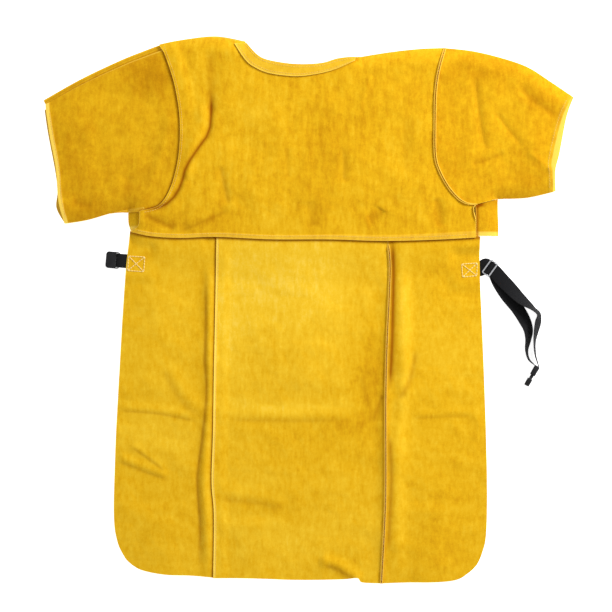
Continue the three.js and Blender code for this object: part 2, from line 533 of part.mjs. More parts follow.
// Webbing: a flat ribbon swept through stations, each with its place and the direction across its width.
function ribbon(stations, count) {
  const places = stations.map((s) => new THREE.Vector3(s.x, s.y, s.z));
  const path = new THREE.CatmullRomCurve3(places, false, "centripetal");
  const widths = stations.map((s, i) => {
    if (s.across) {
      return s.across.clone();
    }
    const t = path.getTangent(i / (stations.length - 1));
    const level = new THREE.Vector3(-t.y, t.x, 0).normalize();
    const up = t.clone().cross(level);
    const tilt = THREE.MathUtils.degToRad(s.tilt);
    return level.multiplyScalar(Math.cos(tilt)).addScaledVector(up, Math.sin(tilt));
  });
  const turning = new THREE.CatmullRomCurve3(widths, false, "catmullrom", 0.5);
  const points = [];
  const faces = [];
  for (let i = 0; i <= count; i++) {
    const p = path.getPoint(i / count);
    const t = path.getTangent(i / count);
    const w = turning.getPoint(i / count);
    w.addScaledVector(t, -w.dot(t)).normalize();
    const n = t.clone().cross(w);
    const section = [[-1, -1], [1, -1], [1, 1], [-1, 1]].map(([a, b]) => p.clone()
      .addScaledVector(w, (a * WEBBING.width) / 2).addScaledVector(n, (b * WEBBING.thick) / 2));
    const below = Math.max(0.1 - Math.min(...section.map((q) => q.z)), 0);
    points.push(...section.map((q) => q.setZ(q.z + below)));
  }
  for (let i = 0; i < count; i++) {
    for (let k = 0; k < 4; k++) {
      const a = 4 * i + k;
      const b = 4 * i + ((k + 1) % 4);
      faces.push([a, b, b + 4], [a, b + 4, a + 4]);
    }
  }
  const end = 4 * count;
  faces.push([0, 2, 1], [0, 3, 2], [end, end + 1, end + 2], [end, end + 2, end + 3]);
  return geometryFrom(points, faces);
}

// Left stub: one folded webbing, sewn under the skirt and looped round the socket's bar.
const turned = (angle, x, y) => {
  const a = THREE.MathUtils.degToRad(angle);
  return { x: x * Math.cos(a) - y * Math.sin(a), y: x * Math.sin(a) + y * Math.cos(a) };
};
const stubAcross = new THREE.Vector3(...Object.values(turned(STUB.turn, 0, 1)), 0);
const barX = SOCKET.x + SOCKET.length / 2 - SOCKET.bar / 2 - STUB.x;
const loop = SOCKET.bar * 0.71 + 0.3 + WEBBING.thick / 2;
const lowZ = WEBBING.thick / 2 + 0.3;
const highZ = lowZ + WEBBING.thick + GAP;
const stubPath = [[14, highZ], [0, highZ], [-16, highZ], [barX + 5, SOCKET.z + loop - 0.6],
  [barX, SOCKET.z + loop], [barX - loop * 0.8, SOCKET.z + loop * 0.6], [barX - loop, SOCKET.z],
  [barX - loop * 0.8, SOCKET.z - loop * 0.6], [barX, SOCKET.z - loop], [barX + 5, SOCKET.z - loop - 0.6],
  [-16, lowZ], [0, lowZ], [14, lowZ]];
webbing("strap_left", ribbon(stubPath.map(([s, z]) => {
  const p = turned(STUB.turn, s, 0);
  return { x: STUB.x + p.x, y: STUB.y + p.y, z, across: stubAcross };
}), 44));

// Boxes and flat plates for the buckle parts.
function box(x0, x1, y0, y1, z0, z1) {
  const block = new THREE.BoxGeometry(x1 - x0, y1 - y0, z1 - z0);
  return toSolid(block.translate((x0 + x1) / 2, (y0 + y1) / 2, (z0 + z1) / 2));
}

function plate(outline, thick, x = 0) {
  const shape = new THREE.Shape(outline.map(([a, w]) => new THREE.Vector2(a, w)));
  const slab = new THREE.ExtrudeGeometry(shape, { depth: thick, bevelEnabled: false });
  return toSolid(slab.translate(x, 0, -thick / 2));
}

function roundedOutline(halfX, halfY, radius, count = 5) {
  const outline = [];
  const corners = [[1, 1, 0], [-1, 1, 90], [-1, -1, 180], [1, -1, 270]];
  for (const [sx, sy, from] of corners) {
    for (let i = 0; i <= count; i++) {
      const a = THREE.MathUtils.degToRad(from + (90 * i) / count);
      const x = sx * (halfX - radius) + radius * Math.cos(a);
      outline.push([x, sy * (halfY - radius) + radius * Math.sin(a)]);
    }
  }
  return outline;
}

// Socket: a hollow body with an open mouth, a window at each side and a bar for the webbing.
const halfLength = SOCKET.length / 2;
const halfWidth = SOCKET.width / 2;
const barFrom = halfLength - SOCKET.bar;
const slotFrom = barFrom - loop - WEBBING.thick / 2 - 0.6;
const insideHalf = SOCKET.thick / 2 - SOCKET.wall;
let socket = plate(roundedOutline(halfLength, halfWidth, 5), SOCKET.thick);
const socketCuts = [
  [-halfLength - 1, slotFrom - 2, -halfWidth + 4, halfWidth - 4, -insideHalf, insideHalf],
  [-3, slotFrom - 3, -halfWidth - 1, halfWidth + 1, -2.4, 2.4],
  [slotFrom, barFrom, -WEB_WINDOW, WEB_WINDOW, -SOCKET.thick, SOCKET.thick],
  [barFrom - 1, halfLength + 1, -WEB_WINDOW, WEB_WINDOW, SOCKET.bar / 2, SOCKET.thick],
  [barFrom - 1, halfLength + 1, -WEB_WINDOW, WEB_WINDOW, -SOCKET.thick, -SOCKET.bar / 2],
];
for (const cut of socketCuts) {
  socket = socket.subtract(box(...cut));
}
const socketPlace = turned(STUB.turn, SOCKET.x - STUB.x, 0);
addNode("buckle_socket", toGeometry(socket).rotateZ(THREE.MathUtils.degToRad(STUB.turn))
  .translate(STUB.x + socketPlace.x, STUB.y + socketPlace.y, SOCKET.z), 0x1d1d20, 0.5);

// Slider: a flat frame with a middle bar.
const sliderLength = 3 * SLIDER.bar + 2 * SLIDER.window;
const sliderHalf = SLIDER.inside / 2;
let slider = plate(roundedOutline(sliderLength / 2, sliderHalf + 1.8, 2.5), SLIDER.thick);
for (const side of [-1, 1]) {
  const middleOf = side * (SLIDER.bar / 2 + SLIDER.window / 2);
  slider = slider.subtract(box(middleOf - SLIDER.window / 2, middleOf + SLIDER.window / 2,
    -sliderHalf, sliderHalf, -SLIDER.thick, SLIDER.thick));
}
addNode("slider", toGeometry(slider).rotateZ(THREE.MathUtils.degToRad(SLIDER.turn))
  .translate(SLIDER.x, SLIDER.y, SLIDER.z), 0xb9bcc0, 0.35, 0.9);

// Plug: a base with a bar and a slot, two spring arms with thick latch heads and a guide between them.
const mirrored = (outline) => outline.map(([a, w]) => [a, -w]).reverse();
const arm = [[PLUG.base - 1, 8.5], [25, 10], [34, 9.2], [PLUG.length, 7.5], [PLUG.length - 1, 11.5], [34, 14.6],
  [27, 15.4], [25, 12.6], [PLUG.base - 1, 12.2]];
const head = [[26, 9.9], [34, 9.2], [PLUG.length, 7.5], [PLUG.length - 1, 11.5], [34, 14.6], [27, 15.4]];
const guide = [[PLUG.base - 1, -2.4], [33, -1.8], [33, 1.8], [PLUG.base - 1, 2.4]];
const plugCuts = [
  [PLUG.bar, PLUG.bar + PLUG.slot, -WEB_WINDOW, WEB_WINDOW, -PLUG.thick, PLUG.thick],
  [-1, PLUG.bar + 0.5, -WEB_WINDOW, WEB_WINDOW, PLUG.bar / 2, PLUG.thick],
  [-1, PLUG.bar + 0.5, -WEB_WINDOW, WEB_WINDOW, -PLUG.thick, -PLUG.bar / 2],
];
let plug = plate(roundedOutline(PLUG.base / 2, PLUG.width / 2, 2), PLUG.thick, PLUG.base / 2);
for (const cut of plugCuts) {
  plug = plug.subtract(box(...cut));
}
for (const [outline, thick] of [[arm, PLUG.neck], [mirrored(arm), PLUG.neck], [head, PLUG.head],
  [mirrored(head), PLUG.head], [guide, PLUG.guide]]) {
  plug = plug.add(plate(outline, thick));
}
const heading = THREE.MathUtils.degToRad(PLUG.heading);
const lean = THREE.MathUtils.degToRad(PLUG.lean);
const plugAlong = new THREE.Vector3(Math.cos(heading), Math.sin(heading), 0);
const plugSide = new THREE.Vector3(-plugAlong.y, plugAlong.x, 0);
const plugUp = new THREE.Vector3(0, 0, Math.cos(lean)).addScaledVector(plugSide, -Math.sin(lean));
const plugFace = plugAlong.clone().cross(plugUp);
const plugStart = new THREE.Vector3(PLUG.x, PLUG.y, PLUG.z).addScaledVector(plugAlong, -PLUG.length / 2);
const plugFrame = new THREE.Matrix4().makeBasis(plugAlong, plugUp, plugFace).setPosition(plugStart);
addNode("buckle_plug", toGeometry(plug).applyMatrix4(plugFrame), 0x1d1d20, 0.5);

// Right strap: sewn end, over the slider's middle bar, round the plug's bar and back under the slider.
const sliderStation = (q, offset) => {
  const p = turned(SLIDER.turn, q, 0);
  return { x: SLIDER.x + p.x, y: SLIDER.y + p.y, z: SLIDER.z + offset, tilt: 0 };
};
const weave = SLIDER.thick / 2 + WEBBING.thick / 2 + 0.3;
const barPoint = plugStart.clone().addScaledVector(plugAlong, PLUG.bar / 2);
const plugLoop = PLUG.bar * 0.71 + 0.3 + WEBBING.thick / 2;
const loopStation = (angle, radius = plugLoop) => {
  const a = THREE.MathUtils.degToRad(angle);
  const p = barPoint.clone().addScaledVector(plugAlong, Math.sin(a) * radius)
    .addScaledVector(plugFace, Math.cos(a) * radius);
  return { x: p.x, y: p.y, z: p.z, across: plugUp.clone().negate() };
};
const facing = plugFace.x > 0 ? 0 : 180;
const onward = facing ? -45 : 45;
const strapStations = [
  { x: 279, y: 73.8, z: lowZ, tilt: 0 },
  { x: 300, y: 73.8, z: lowZ, tilt: 0 },
  { x: 311, y: 74.6, z: lowZ + 0.1, tilt: 0 },
  sliderStation(-9, -weave),
  sliderStation(-6, -weave - 0.1),
  sliderStation(-1, weave),
  sliderStation(1, weave),
  sliderStation(6, -weave - 0.1),
  sliderStation(10, -weave),
  { x: 347, y: 58.5, z: 3.4, tilt: -4 },
  { x: 360, y: 44.8, z: 4.8, tilt: -12 },
  { x: 384.7, y: 19.4, z: 8.8, tilt: -38 },
  { x: 406, y: 3, z: 12.8, tilt: -72 },
  { x: 417.5, y: -6.5, z: 13.4, tilt: -82 },
  { x: 416.5, y: -20, z: 12.4, tilt: -62 },
  { x: 412.2, y: -37, z: 13, tilt: -72 },
  { x: 409.5, y: -56.7, z: 13.6, tilt: -84 },
  { x: 410.5, y: -80, z: 14.6, tilt: -82 },
  ...[0, 1, 2, 3, 4].map((step) => loopStation(facing + onward * step)),
  { x: 397, y: -88, z: 14.2, tilt: -98 },
  { x: 392.8, y: -72, z: 13.6, tilt: -97 },
  { x: 395.5, y: -52, z: 13.3, tilt: -108 },
  { x: 395.5, y: -35.1, z: 11.9, tilt: -122 },
  { x: 389.5, y: -17.1, z: 7.6, tilt: -149 },
  { x: 377, y: 4.5, z: 4.8, tilt: -162 },
  { x: 359, y: 27.5, z: 2.4, tilt: -174 },
  { x: 345, y: 50, z: lowZ, tilt: -180 },
  { ...sliderStation(9, -weave - LAP), z: lowZ, tilt: -180 },
  { ...sliderStation(3, -weave - 0.1), tilt: -180 },
  { ...sliderStation(0.5, -weave - 0.05), tilt: -180 },
];
webbing("strap_right", ribbon(strapStations, 120));

// The origin lies on the surface, under the middle of the whole.
const whole = new THREE.Box3().setFromObject(group);
const centre = whole.getCenter(new THREE.Vector3());
for (const mesh of group.children) {
  mesh.geometry.translate(-centre.x, -centre.y, -whole.min.z);
}

export default group;
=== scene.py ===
import math

import bpy
import numpy as np
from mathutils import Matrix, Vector


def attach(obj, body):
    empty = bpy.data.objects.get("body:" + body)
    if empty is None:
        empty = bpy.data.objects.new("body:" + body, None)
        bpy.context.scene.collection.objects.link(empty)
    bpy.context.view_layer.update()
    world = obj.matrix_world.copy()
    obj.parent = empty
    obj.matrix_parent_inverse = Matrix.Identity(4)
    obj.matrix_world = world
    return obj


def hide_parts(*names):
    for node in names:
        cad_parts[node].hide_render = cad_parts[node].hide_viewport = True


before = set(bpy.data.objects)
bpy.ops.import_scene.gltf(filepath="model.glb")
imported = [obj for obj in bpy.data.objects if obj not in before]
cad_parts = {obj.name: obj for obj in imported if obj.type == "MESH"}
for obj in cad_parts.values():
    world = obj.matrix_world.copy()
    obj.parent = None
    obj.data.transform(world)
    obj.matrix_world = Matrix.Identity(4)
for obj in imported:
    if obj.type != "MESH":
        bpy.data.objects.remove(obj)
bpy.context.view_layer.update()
bpy.ops.object.select_all(action="DESELECT")

# Studio: the camera hangs straight over the laid apron. The floor is a plain white light table, the light
# comes evenly from all round, and one large soft lamp at the upper right gives the folds their shade.
VIEW_WIDTH = 1.1016
CAMERA_HEIGHT = 3.4
CAMERA_OVER = (-0.00455, 0.00735)
LEATHER_LEVEL = 0.008
ROOM_LIGHT = 0.6
SOFTBOX_SIZE, SOFTBOX_POWER, SOFTBOX_PLACE = 1.2, 118.0, (2.3, 1.8, 1.75)
FLOOR_SIZE, FLOOR_LEVEL, FLOOR_GLOW = 14.0, -0.0004, 0.8
WHITE = (1.0, 1.0, 1.0, 1.0)
camera = bpy.data.objects.new("camera", bpy.data.cameras.new("camera"))
camera.data.lens = camera.data.sensor_width * (CAMERA_HEIGHT - LEATHER_LEVEL) / VIEW_WIDTH
camera.location = (*CAMERA_OVER, CAMERA_HEIGHT)
bpy.context.scene.collection.objects.link(camera)
bpy.context.scene.camera = camera
bpy.context.scene.view_settings.view_transform = "Standard"

world = bpy.data.worlds.new("studio")
world.use_nodes = True
sky = world.node_tree.nodes["Background"].inputs
sky["Color"].default_value = WHITE
sky["Strength"].default_value = ROOM_LIGHT
bpy.context.scene.world = world

softbox = bpy.data.objects.new("softbox", bpy.data.lights.new("softbox", "AREA"))
softbox.data.size = SOFTBOX_SIZE
softbox.data.energy = SOFTBOX_POWER
softbox.location = SOFTBOX_PLACE
softbox.rotation_euler = (-Vector(SOFTBOX_PLACE)).to_track_quat("-Z", "Y").to_euler()
bpy.context.scene.collection.objects.link(softbox)


def principled(name):
    """A new material, its node tree and the sockets of its shader."""
    material = bpy.data.materials.new(name)
    material.use_nodes = True
    return material, material.node_tree, material.node_tree.nodes["Principled BSDF"].inputs


bpy.ops.mesh.primitive_plane_add(size=FLOOR_SIZE, location=(0.0, 0.0, FLOOR_LEVEL))
floor = bpy.context.object
floor.name = "floor"
floor_white, _, sockets = principled("floor_white")
sockets["Base Color"].default_value = (0.95, 0.95, 0.95, 1.0)
sockets["Roughness"].default_value = 0.9
sockets["Emission Color"].default_value = WHITE
sockets["Emission Strength"].default_value = FLOOR_GLOW
floor.data.materials.append(floor_white)

# Back halves: two suede panels that lie on the floor and overlap at the centre. A strip of each turns up
# round the side and is sewn to the chest panel in front. Sizes are the sewing pattern's, in millimetres.
LEATHER = 1.6
GAP = 0.45
LAP = LEATHER + GAP
CLEAR_LAP = LAP + 0.1
REST = LEATHER / 2
HEM_THICK = 3.2
CHEST_RISE, SLEEVE_RISE, HEM_RISE, SEAM_RISE = 17.0, 14.0, 13.0, 5.0
UNDER_HEM = (HEM_THICK - LEATHER) * 0.6
ROLL, ROLL_POWER = 30.0, 2.2
BACK_ROLL = 18.0
SLEEVES_FROM, SLEEVES_FULL = 200.0, 300.0
HEM_LEVEL, CHEST_LEVEL = 128.0, 230.0
CUT_STEPS, CUT_CLEAR = np.array([0.0, 1.1, 2.4]), 0.8
FOLD_END, BROAD_FOLD, CREASE_SHARE = 0.15, 8, 0.6
STREAKS, INSIDE_PALE = 0.15, 0.4
MM = 0.001
PATTERN_ZERO = (0.95, 0.75, 0.0)


def curve(points):
    """A smooth line through pattern points: the place at each share of its length."""
    p = np.asarray(points, float)
    last = len(p) - 1
    t = np.linspace(0, 1, 24, endpoint=False)[:, None]
    runs = []
    for i in range(last):
        a, b, c, d = p[max(i - 1, 0)], p[i], p[i + 1], p[min(i + 2, last)]
        leave, arrive = (c - a) / 2, (d - b) / 2
        runs.append(b + leave * t + (3 * (c - b) - 2 * leave - arrive) * t**2
                    + (2 * (b - c) + leave + arrive) * t**3)
    chain = np.vstack([*runs, p[-1:]])
    way = np.r_[0, np.cumsum(np.hypot(*np.diff(chain, axis=0).T))]

    def at(share):
        reach = np.clip(np.atleast_1d(share), 0, 1) * way[-1]
        return np.stack([np.interp(reach, way, chain[:, k]) for k in (0, 1)], axis=-1)

    return at


def beside(line, distance):
    """The same line, moved to its left."""
    s = np.linspace(0, 1, 33)
    ahead = line(s + 0.002) - line(s - 0.002)
    ahead /= np.linalg.norm(ahead, axis=1, keepdims=True)
    return curve(line(s) + distance * np.stack([-ahead[:, 1], ahead[:, 0]], axis=1))


def straight(start, end):
    start, end = np.array(start, float), np.array(end, float)
    return lambda share: start + (end - start) * np.atleast_1d(share)[:, None]


def joined(*runs):
    """Several edges one after another, each up to its own share of the way."""
    def at(share):
        share = np.atleast_1d(share)
        place, begin = np.zeros((share.size, 2)), 0.0
        for edge, end in runs:
            inside = (share >= begin - 1e-9) & (share <= end + 1e-9)
            place[inside] = edge((share[inside] - begin) / (end - begin))
            begin = end
        return place

    return at


def panel(bottom, top, left, right):
    """A panel's flat shape between its four edges, at every crossing of the columns and rows."""
    def flat(columns, rows):
        u, v = columns[None, :, None], rows[:, None, None]
        corners = ((1 - u) * (1 - v) * bottom(0.0) + u * (1 - v) * bottom(1.0)
                   + (1 - u) * v * top(0.0) + u * v * top(1.0))
        return ((1 - u) * left(rows)[:, None] + u * right(rows)[:, None]
                + (1 - v) * bottom(columns)[None] + v * top(columns)[None] - corners)

    return flat


def shares(length, pitch=3.0, marks=()):
    """Shares of a side about one pitch apart, closer at its two cut edges and at the marks."""
    close = np.r_[CUT_STEPS / length, 1 - CUT_STEPS / length, marks]
    even = np.linspace(0, 1, round(length / pitch) + 1)
    clear = np.abs(even[:, None] - close[None]).min(axis=1) * length > CUT_CLEAR
    return np.sort(np.r_[close, even[clear]])


def smooth(value, low, high):
    t = np.clip((value - low) / (high - low), 0, 1)
    return t * t * (3 - 2 * t)


def nearest(chain, x, y):
    """Distance from each point to a chain of points, and the share of the chain where it is met."""
    chain = np.asarray(chain, float)
    best, share = np.full(np.shape(x), np.inf), np.zeros(np.shape(x))
    for i, ((ax, ay), (bx, by)) in enumerate(zip(chain[:-1], chain[1:])):
        dx, dy = bx - ax, by - ay
        t = np.clip(((x - ax) * dx + (y - ay) * dy) / (dx * dx + dy * dy), 0, 1)
        distance = np.hypot(x - ax - t * dx, y - ay - t * dy)
        share = np.where(distance < best, (i + t) / (len(chain) - 1), share)
        best = np.minimum(best, distance)
    return best, share


def ripples(x, y, wavelength, seed, waves=26):
    """Uneven ground of unit height: many waves of about one length, in all directions."""
    draw = np.random.default_rng(seed)
    total = np.zeros(np.shape(x))
    for _ in range(waves):
        angle, phase = draw.uniform(0, 2 * math.pi, 2)
        k = 2 * math.pi / (wavelength * draw.uniform(0.7, 1.5))
        total = total + np.cos(k * (x * math.cos(angle) + y * math.sin(angle)) + phase)
    return total / math.sqrt(waves / 2)


def rippled(table, x, y):
    """Uneven ground of several sizes. Columns: height and wavelength in mm, seed."""
    return sum(height * ripples(x, y, wavelength, seed) for height, wavelength, seed in table)


def folds(table, x, y, crease=False):
    """Sum of the folds' heights at each point, or of the painted shade in their creases, in narrower lines.
    """
    total = np.zeros(np.shape(x))
    for _, rise, width, shade, line in table:
        amount = shade if crease else rise
        if not amount:
            continue
        distance, share = nearest(curve(line)(np.linspace(0, 1, 2 * len(line) + 1)), x, y)
        ends = smooth(share, 0, FOLD_END) * smooth(1 - share, 0, FOLD_END)
        power = 2.0 if width > BROAD_FOLD else 1.5
        reach = width * CREASE_SHARE if crease else width
        total = total + amount * ends * np.exp(-(distance / reach) ** power)
    return total


LEFT_TOP = curve([(-477, 378.9), (-410.4, 416.7), (-338.4, 450.9), (-293.4, 468.9), (-264.6, 479.7)])
LEFT_SHOULDER = curve([(-264.6, 479.7), (-221.4, 488.7), (-165.6, 494.1), (-113.4, 485.1)])
RIGHT_SHOULDER = curve([(97.2, 456.3), (151.2, 465.3), (201.6, 470.7), (246.6, 472.5)])
RIGHT_TOP = curve([(246.6, 472.5), (295.2, 467.1), (345.6, 455.4), (396, 438.3), (439.2, 411.3),
                   (478.8, 384.3)])
LEFT_UNDERARM = curve([(-436.5, 156.5), (-396, 162.9), (-352.8, 175.5), (-324, 181.8)])
RIGHT_UNDERARM = curve([(446.4, 215.1), (399.6, 204.3), (342, 200.7)])
LEFT_SIDE = curve([(-319.8, 143.6), (-322, 151), (-324, 160), (-324, 181.8)])
RIGHT_SIDE = curve([(343.8, 134.1), (342, 200.7)])
LEFT_ARMHOLE = curve([(-302.4, 179.1), (-268.9, 188.6), (-248.4, 216.9), (-235.8, 258.3), (-230.4, 299.7),
                      (-230.4, 345.4), (-235.8, 386.6), (-245, 425), (-264.6, 479.7)])
RIGHT_ARMHOLE = curve([(304, 190.5), (279, 195), (255.6, 216.9), (237.6, 247.5), (228.5, 278.1),
                       (227.7, 335.7), (229.1, 391.5), (235.1, 432.9), (246.6, 472.5)])
HEM = curve([(-318.6, 141.3), (-282.6, 133.6), (-230.4, 130.5), (-163.8, 132.3), (-66.6, 128), (39.6, 127.8),
             (131.4, 125.1), (219.6, 126.9), (298, 131)])
CLOSED_EDGES = [line(np.linspace(0, 1, 25)) for line in (
    LEFT_TOP, LEFT_SHOULDER, RIGHT_SHOULDER, RIGHT_TOP, LEFT_UNDERARM, LEFT_SIDE, RIGHT_UNDERARM, RIGHT_SIDE)]
HEM_CHAIN = HEM(np.linspace(0, 1, 49))

# Folds of the chest and the sleeves. Columns: name, rise in mm (pressed in where negative), width in mm, how
# much shade is painted into the crease, and the line that the fold follows.
CHEST_FOLDS = [
    ("armpit roll", 4, 13, 0, [(-192, 375), (-195, 320), (-212, 270), (-224, 232)]),
    ("armpit crease", -3.6, 6, 1.0, [(-174, 400), (-177, 326), (-200, 288), (-219, 257), (-229, 224),
     (-246, 198), (-270, 184), (-306, 178)]),
    ("shoulder valley", -1.2, 15, 0.25, [(-176, 470), (-174, 420), (-174, 345)]),
    ("armpit hollow", -1.8, 9, 0.4, [(-296, 174), (-268, 160), (-236, 146)]),
    ("left chest crease", -2.2, 8, 0.3, [(-158, 262), (-151, 225), (-142, 188)]),
    ("left chest ridge", 2.0, 13, 0, [(-224, 148), (-170, 176), (-124, 198)]),
    ("left hem slant", -1.2, 7, 0.3, [(-236, 140), (-180, 163), (-140, 182)]),
    ("middle crease", -1.6, 7, 0.28, [(62, 295), (65, 262), (64, 228)]),
    ("middle streak", -0.9, 7, 0.15, [(-38, 292), (-36, 236)]),
    ("centre hem dent", -1.2, 11, 0.2, [(3, 198), (9, 146)]),
    ("right hem dent", -2.0, 12, 0.2, [(106, 162), (122, 168), (134, 184)]),
    ("right side crease", -1.8, 9, 0.2, [(229, 204), (236, 178), (240, 148)]),
    ("right neck ridge", 1.1, 7, 0, [(113, 426), (104, 395), (92, 358)]),
    ("right chest streak", -0.8, 12, 0.12, [(176, 352), (178, 240)]),
    ("left sleeve ridge", 2, 32, 0, [(-415, 361), (-398, 205)]),
    ("left sleeve slant", 1.5, 10, 0, [(-246, 366), (-262, 290), (-288, 206)]),
    ("left sleeve dent", -1.2, 12, 0.25, [(-318, 244), (-330, 190)]),
    ("left cuff dent", -1.2, 10, 0.3, [(-424, 196), (-388, 188)]),
    ("right sleeve crease", -2.6, 7, 0.4, [(299, 424), (307, 361), (312, 325), (320, 282)]),
    ("right sleeve pleat", -1.7, 6, 0.3, [(336, 361), (358, 328), (388, 292)]),
    ("right sleeve tuck", -1.8, 6, 0.4, [(292, 260), (323, 271), (354, 284)]),
    ("right sleeve shade", -1.8, 9, 0.45, [(380, 408), (404, 378), (448, 350)]),
    ("right cuff slant", 1.6, 6, 0, [(394, 287), (416, 268), (440, 249)]),
    ("right cuff ridge", 2.2, 26, 0, [(400, 397), (417, 235)]),
]


def hem_y(x):
    return np.interp(x, HEM_CHAIN[:, 0], HEM_CHAIN[:, 1])


def to_edge(x, y):
    return np.minimum.reduce([nearest(chain, x, y)[0] for chain in CLOSED_EDGES])


CHEST_RIPPLES = [(0.5, 95, 3), (0.22, 34, 4), (0.07, 13, 5)]


def front_height(x, y):
    """Middle of the front layer: it rises from the closed edges in a soft roll, with the folds on it."""
    rise = CHEST_RISE + (SLEEVE_RISE - CHEST_RISE) * smooth(np.abs(x), SLEEVES_FROM, SLEEVES_FULL)
    top = HEM_RISE + (rise - HEM_RISE) * smooth(y, HEM_LEVEL, CHEST_LEVEL)
    near = np.minimum(to_edge(x, y) / ROLL, 1)
    roll = 1 - (1 - near) ** ROLL_POWER
    uneven = rippled(CHEST_RIPPLES, x, y) * smooth(near, 0.3, 1) * smooth(y - hem_y(x), 6, 60)
    return SEAM_RISE + (top - SEAM_RISE) * roll + folds(CHEST_FOLDS, x, y) * smooth(near, 0.2, 1) + uneven


def back_height(x, y):
    """Middle of the back layer: it lies on the floor and lifts at the closed edges."""
    near = np.minimum(to_edge(x, y) / BACK_ROLL, 1)
    return REST + (SEAM_RISE - LAP - REST) * (1 - near) ** 2


def node(tree, kind, inputs, **settings):
    """A shader node with its settings, and its inputs set or linked."""
    made = tree.nodes.new("ShaderNode" + kind)
    for key, value in settings.items():
        setattr(made, key, value)
    for key, value in inputs.items():
        if isinstance(value, bpy.types.NodeSocket):
            tree.links.new(value, made.inputs[key])
        else:
            made.inputs[key].default_value = value
    return made


def arithmetic(tree, operation, *values):
    return node(tree, "Math", dict(enumerate(values)), operation=operation).outputs[0]


def blend(tree, factor, first, second):
    """One colour into another as the factor goes from 0 to 1."""
    return node(tree, "Mix", {0: factor, 6: first, 7: second}, data_type="RGBA").outputs[2]


def bumped(tree, height, strength, distance, **over):
    """Surface relief from a height, over other relief where its Normal is given."""
    relief = {"Height": height, "Strength": strength, "Distance": distance, **over}
    return node(tree, "Bump", relief).outputs["Normal"]


SUEDE_SHADES = [
    (0.0, (0.39, 0.155, 0.003)), (0.28, (0.59, 0.275, 0.004)), (0.5, (0.755, 0.415, 0.008)),
    (0.72, (0.86, 0.53, 0.024)), (1.0, (0.95, 0.67, 0.095))]
SUEDE_PALE = (0.97, 0.67, 0.10, 1.0)
# Painted shade: the dark brown that creases, seams and shadowed lines are darkened towards.
SUEDE_PAINTED_SHADE = (0.31, 0.088, 0.001, 1.0)
HIDE, MOTTLE, STROKES, NAP = 0.14, 0.52, 0.34, 0.30


def suede(name, tone, streaks, seed):
    """Split cowhide: broad shade of the hide, mottled and brushed patches, combed streaks and a short nap."""
    material, tree, sockets = principled(name)
    place = node(tree, "TexCoord", {}).outputs["Object"]
    shift = (0.37 * seed, 0.61 * seed, 0.0)
    place = node(tree, "Mapping", {"Vector": place, "Location": shift}).outputs["Vector"]

    def stretched(scale, turn):
        mapping = {"Vector": place, "Scale": scale, "Rotation": (0.0, 0.0, turn)}
        return node(tree, "Mapping", mapping).outputs["Vector"]

    def grain(vector, scale, detail, roughness):
        noise = {"Vector": vector, "Scale": scale, "Detail": detail, "Roughness": roughness}
        return node(tree, "TexNoise", noise)

    hide = grain(place, 9.0, 2.0, 0.5)
    mottle = grain(place, 55.0, 7.0, 0.74)
    stroke = grain(stretched((190.0, 62.0, 90.0), 0.5), 1.0, 3.0, 0.6)
    comb = grain(stretched((105.0, 20.0, 40.0), 0.0), 1.0, 4.0, 0.62)
    nap = grain(place, 640.0, 3.0, 0.7)
    # Per corner: X is the paleness of cut edges and hems, Y painted shade, Z tone with some painted light.
    pale_painted_shade_tone = node(tree, "Attribute", {}, attribute_name="pale_painted_shade_tone")
    pale_painted_shade_tone = node(tree, "SeparateXYZ", {"Vector": pale_painted_shade_tone.outputs["Vector"]}).outputs
    level = pale_painted_shade_tone["Z"]
    weights = [(hide, HIDE), (mottle, MOTTLE), (stroke, STROKES), (comb, streaks), (nap, NAP)]
    for texture, weight in weights:
        level = arithmetic(tree, "MULTIPLY_ADD", texture.outputs["Fac"], weight, level)
    level = arithmetic(tree, "ADD", level, 0.5 + tone - 0.5 * sum(weight for _, weight in weights))
    ramp = node(tree, "ValToRGB", {"Fac": level})
    stops = ramp.color_ramp.elements
    while len(stops) < len(SUEDE_SHADES):
        stops.new(0.5)
    for stop, (position, colour) in zip(stops, SUEDE_SHADES):
        stop.position, stop.color = position, (*colour, 1.0)
    pale = blend(tree, pale_painted_shade_tone["X"], ramp.outputs["Color"], SUEDE_PALE)
    # The colour is darkened towards the painted shade as far as Y says.
    tree.links.new(blend(tree, pale_painted_shade_tone["Y"], pale, SUEDE_PAINTED_SHADE), sockets["Base Color"])
    dents = bumped(tree, mottle.outputs["Fac"], 0.3, 0.0012)
    tree.links.new(bumped(tree, nap.outputs["Fac"], 0.45, 0.0005, Normal=dents), sockets["Normal"])
    sockets["Roughness"].default_value = 0.95
    sockets["Specular IOR Level"].default_value = 0.0
    sockets["Sheen Weight"].default_value = 0.14
    sockets["Sheen Roughness"].default_value = 0.5
    sockets["Sheen Tint"].default_value = (1.0, 0.82, 0.4, 1.0)
    return material


def lay(shape, columns, rows, height):
    """A flat panel laid over the ground that a height function gives."""
    flat = shape(columns, rows)
    return np.dstack([flat, height(flat[..., 0], flat[..., 1])])


def place_mesh(name, corners, faces):
    """A new mesh object from pattern points in millimetres, with its place in its mesh."""
    mesh = bpy.data.meshes.new(name)
    mesh.from_pydata(((corners - PATTERN_ZERO) * MM).tolist(), [], faces)
    piece = bpy.data.objects.new(name, mesh)
    bpy.context.scene.collection.objects.link(piece)
    return piece


def select_only(piece):
    bpy.ops.object.select_all(action="DESELECT")
    piece.select_set(True)
    bpy.context.view_layer.objects.active = piece


def soften(piece, angle):
    """Smooth shading, with edges sharper than the angle left crisp."""
    select_only(piece)
    bpy.ops.object.shade_smooth_by_angle(angle=math.radians(angle))
    piece.select_set(False)


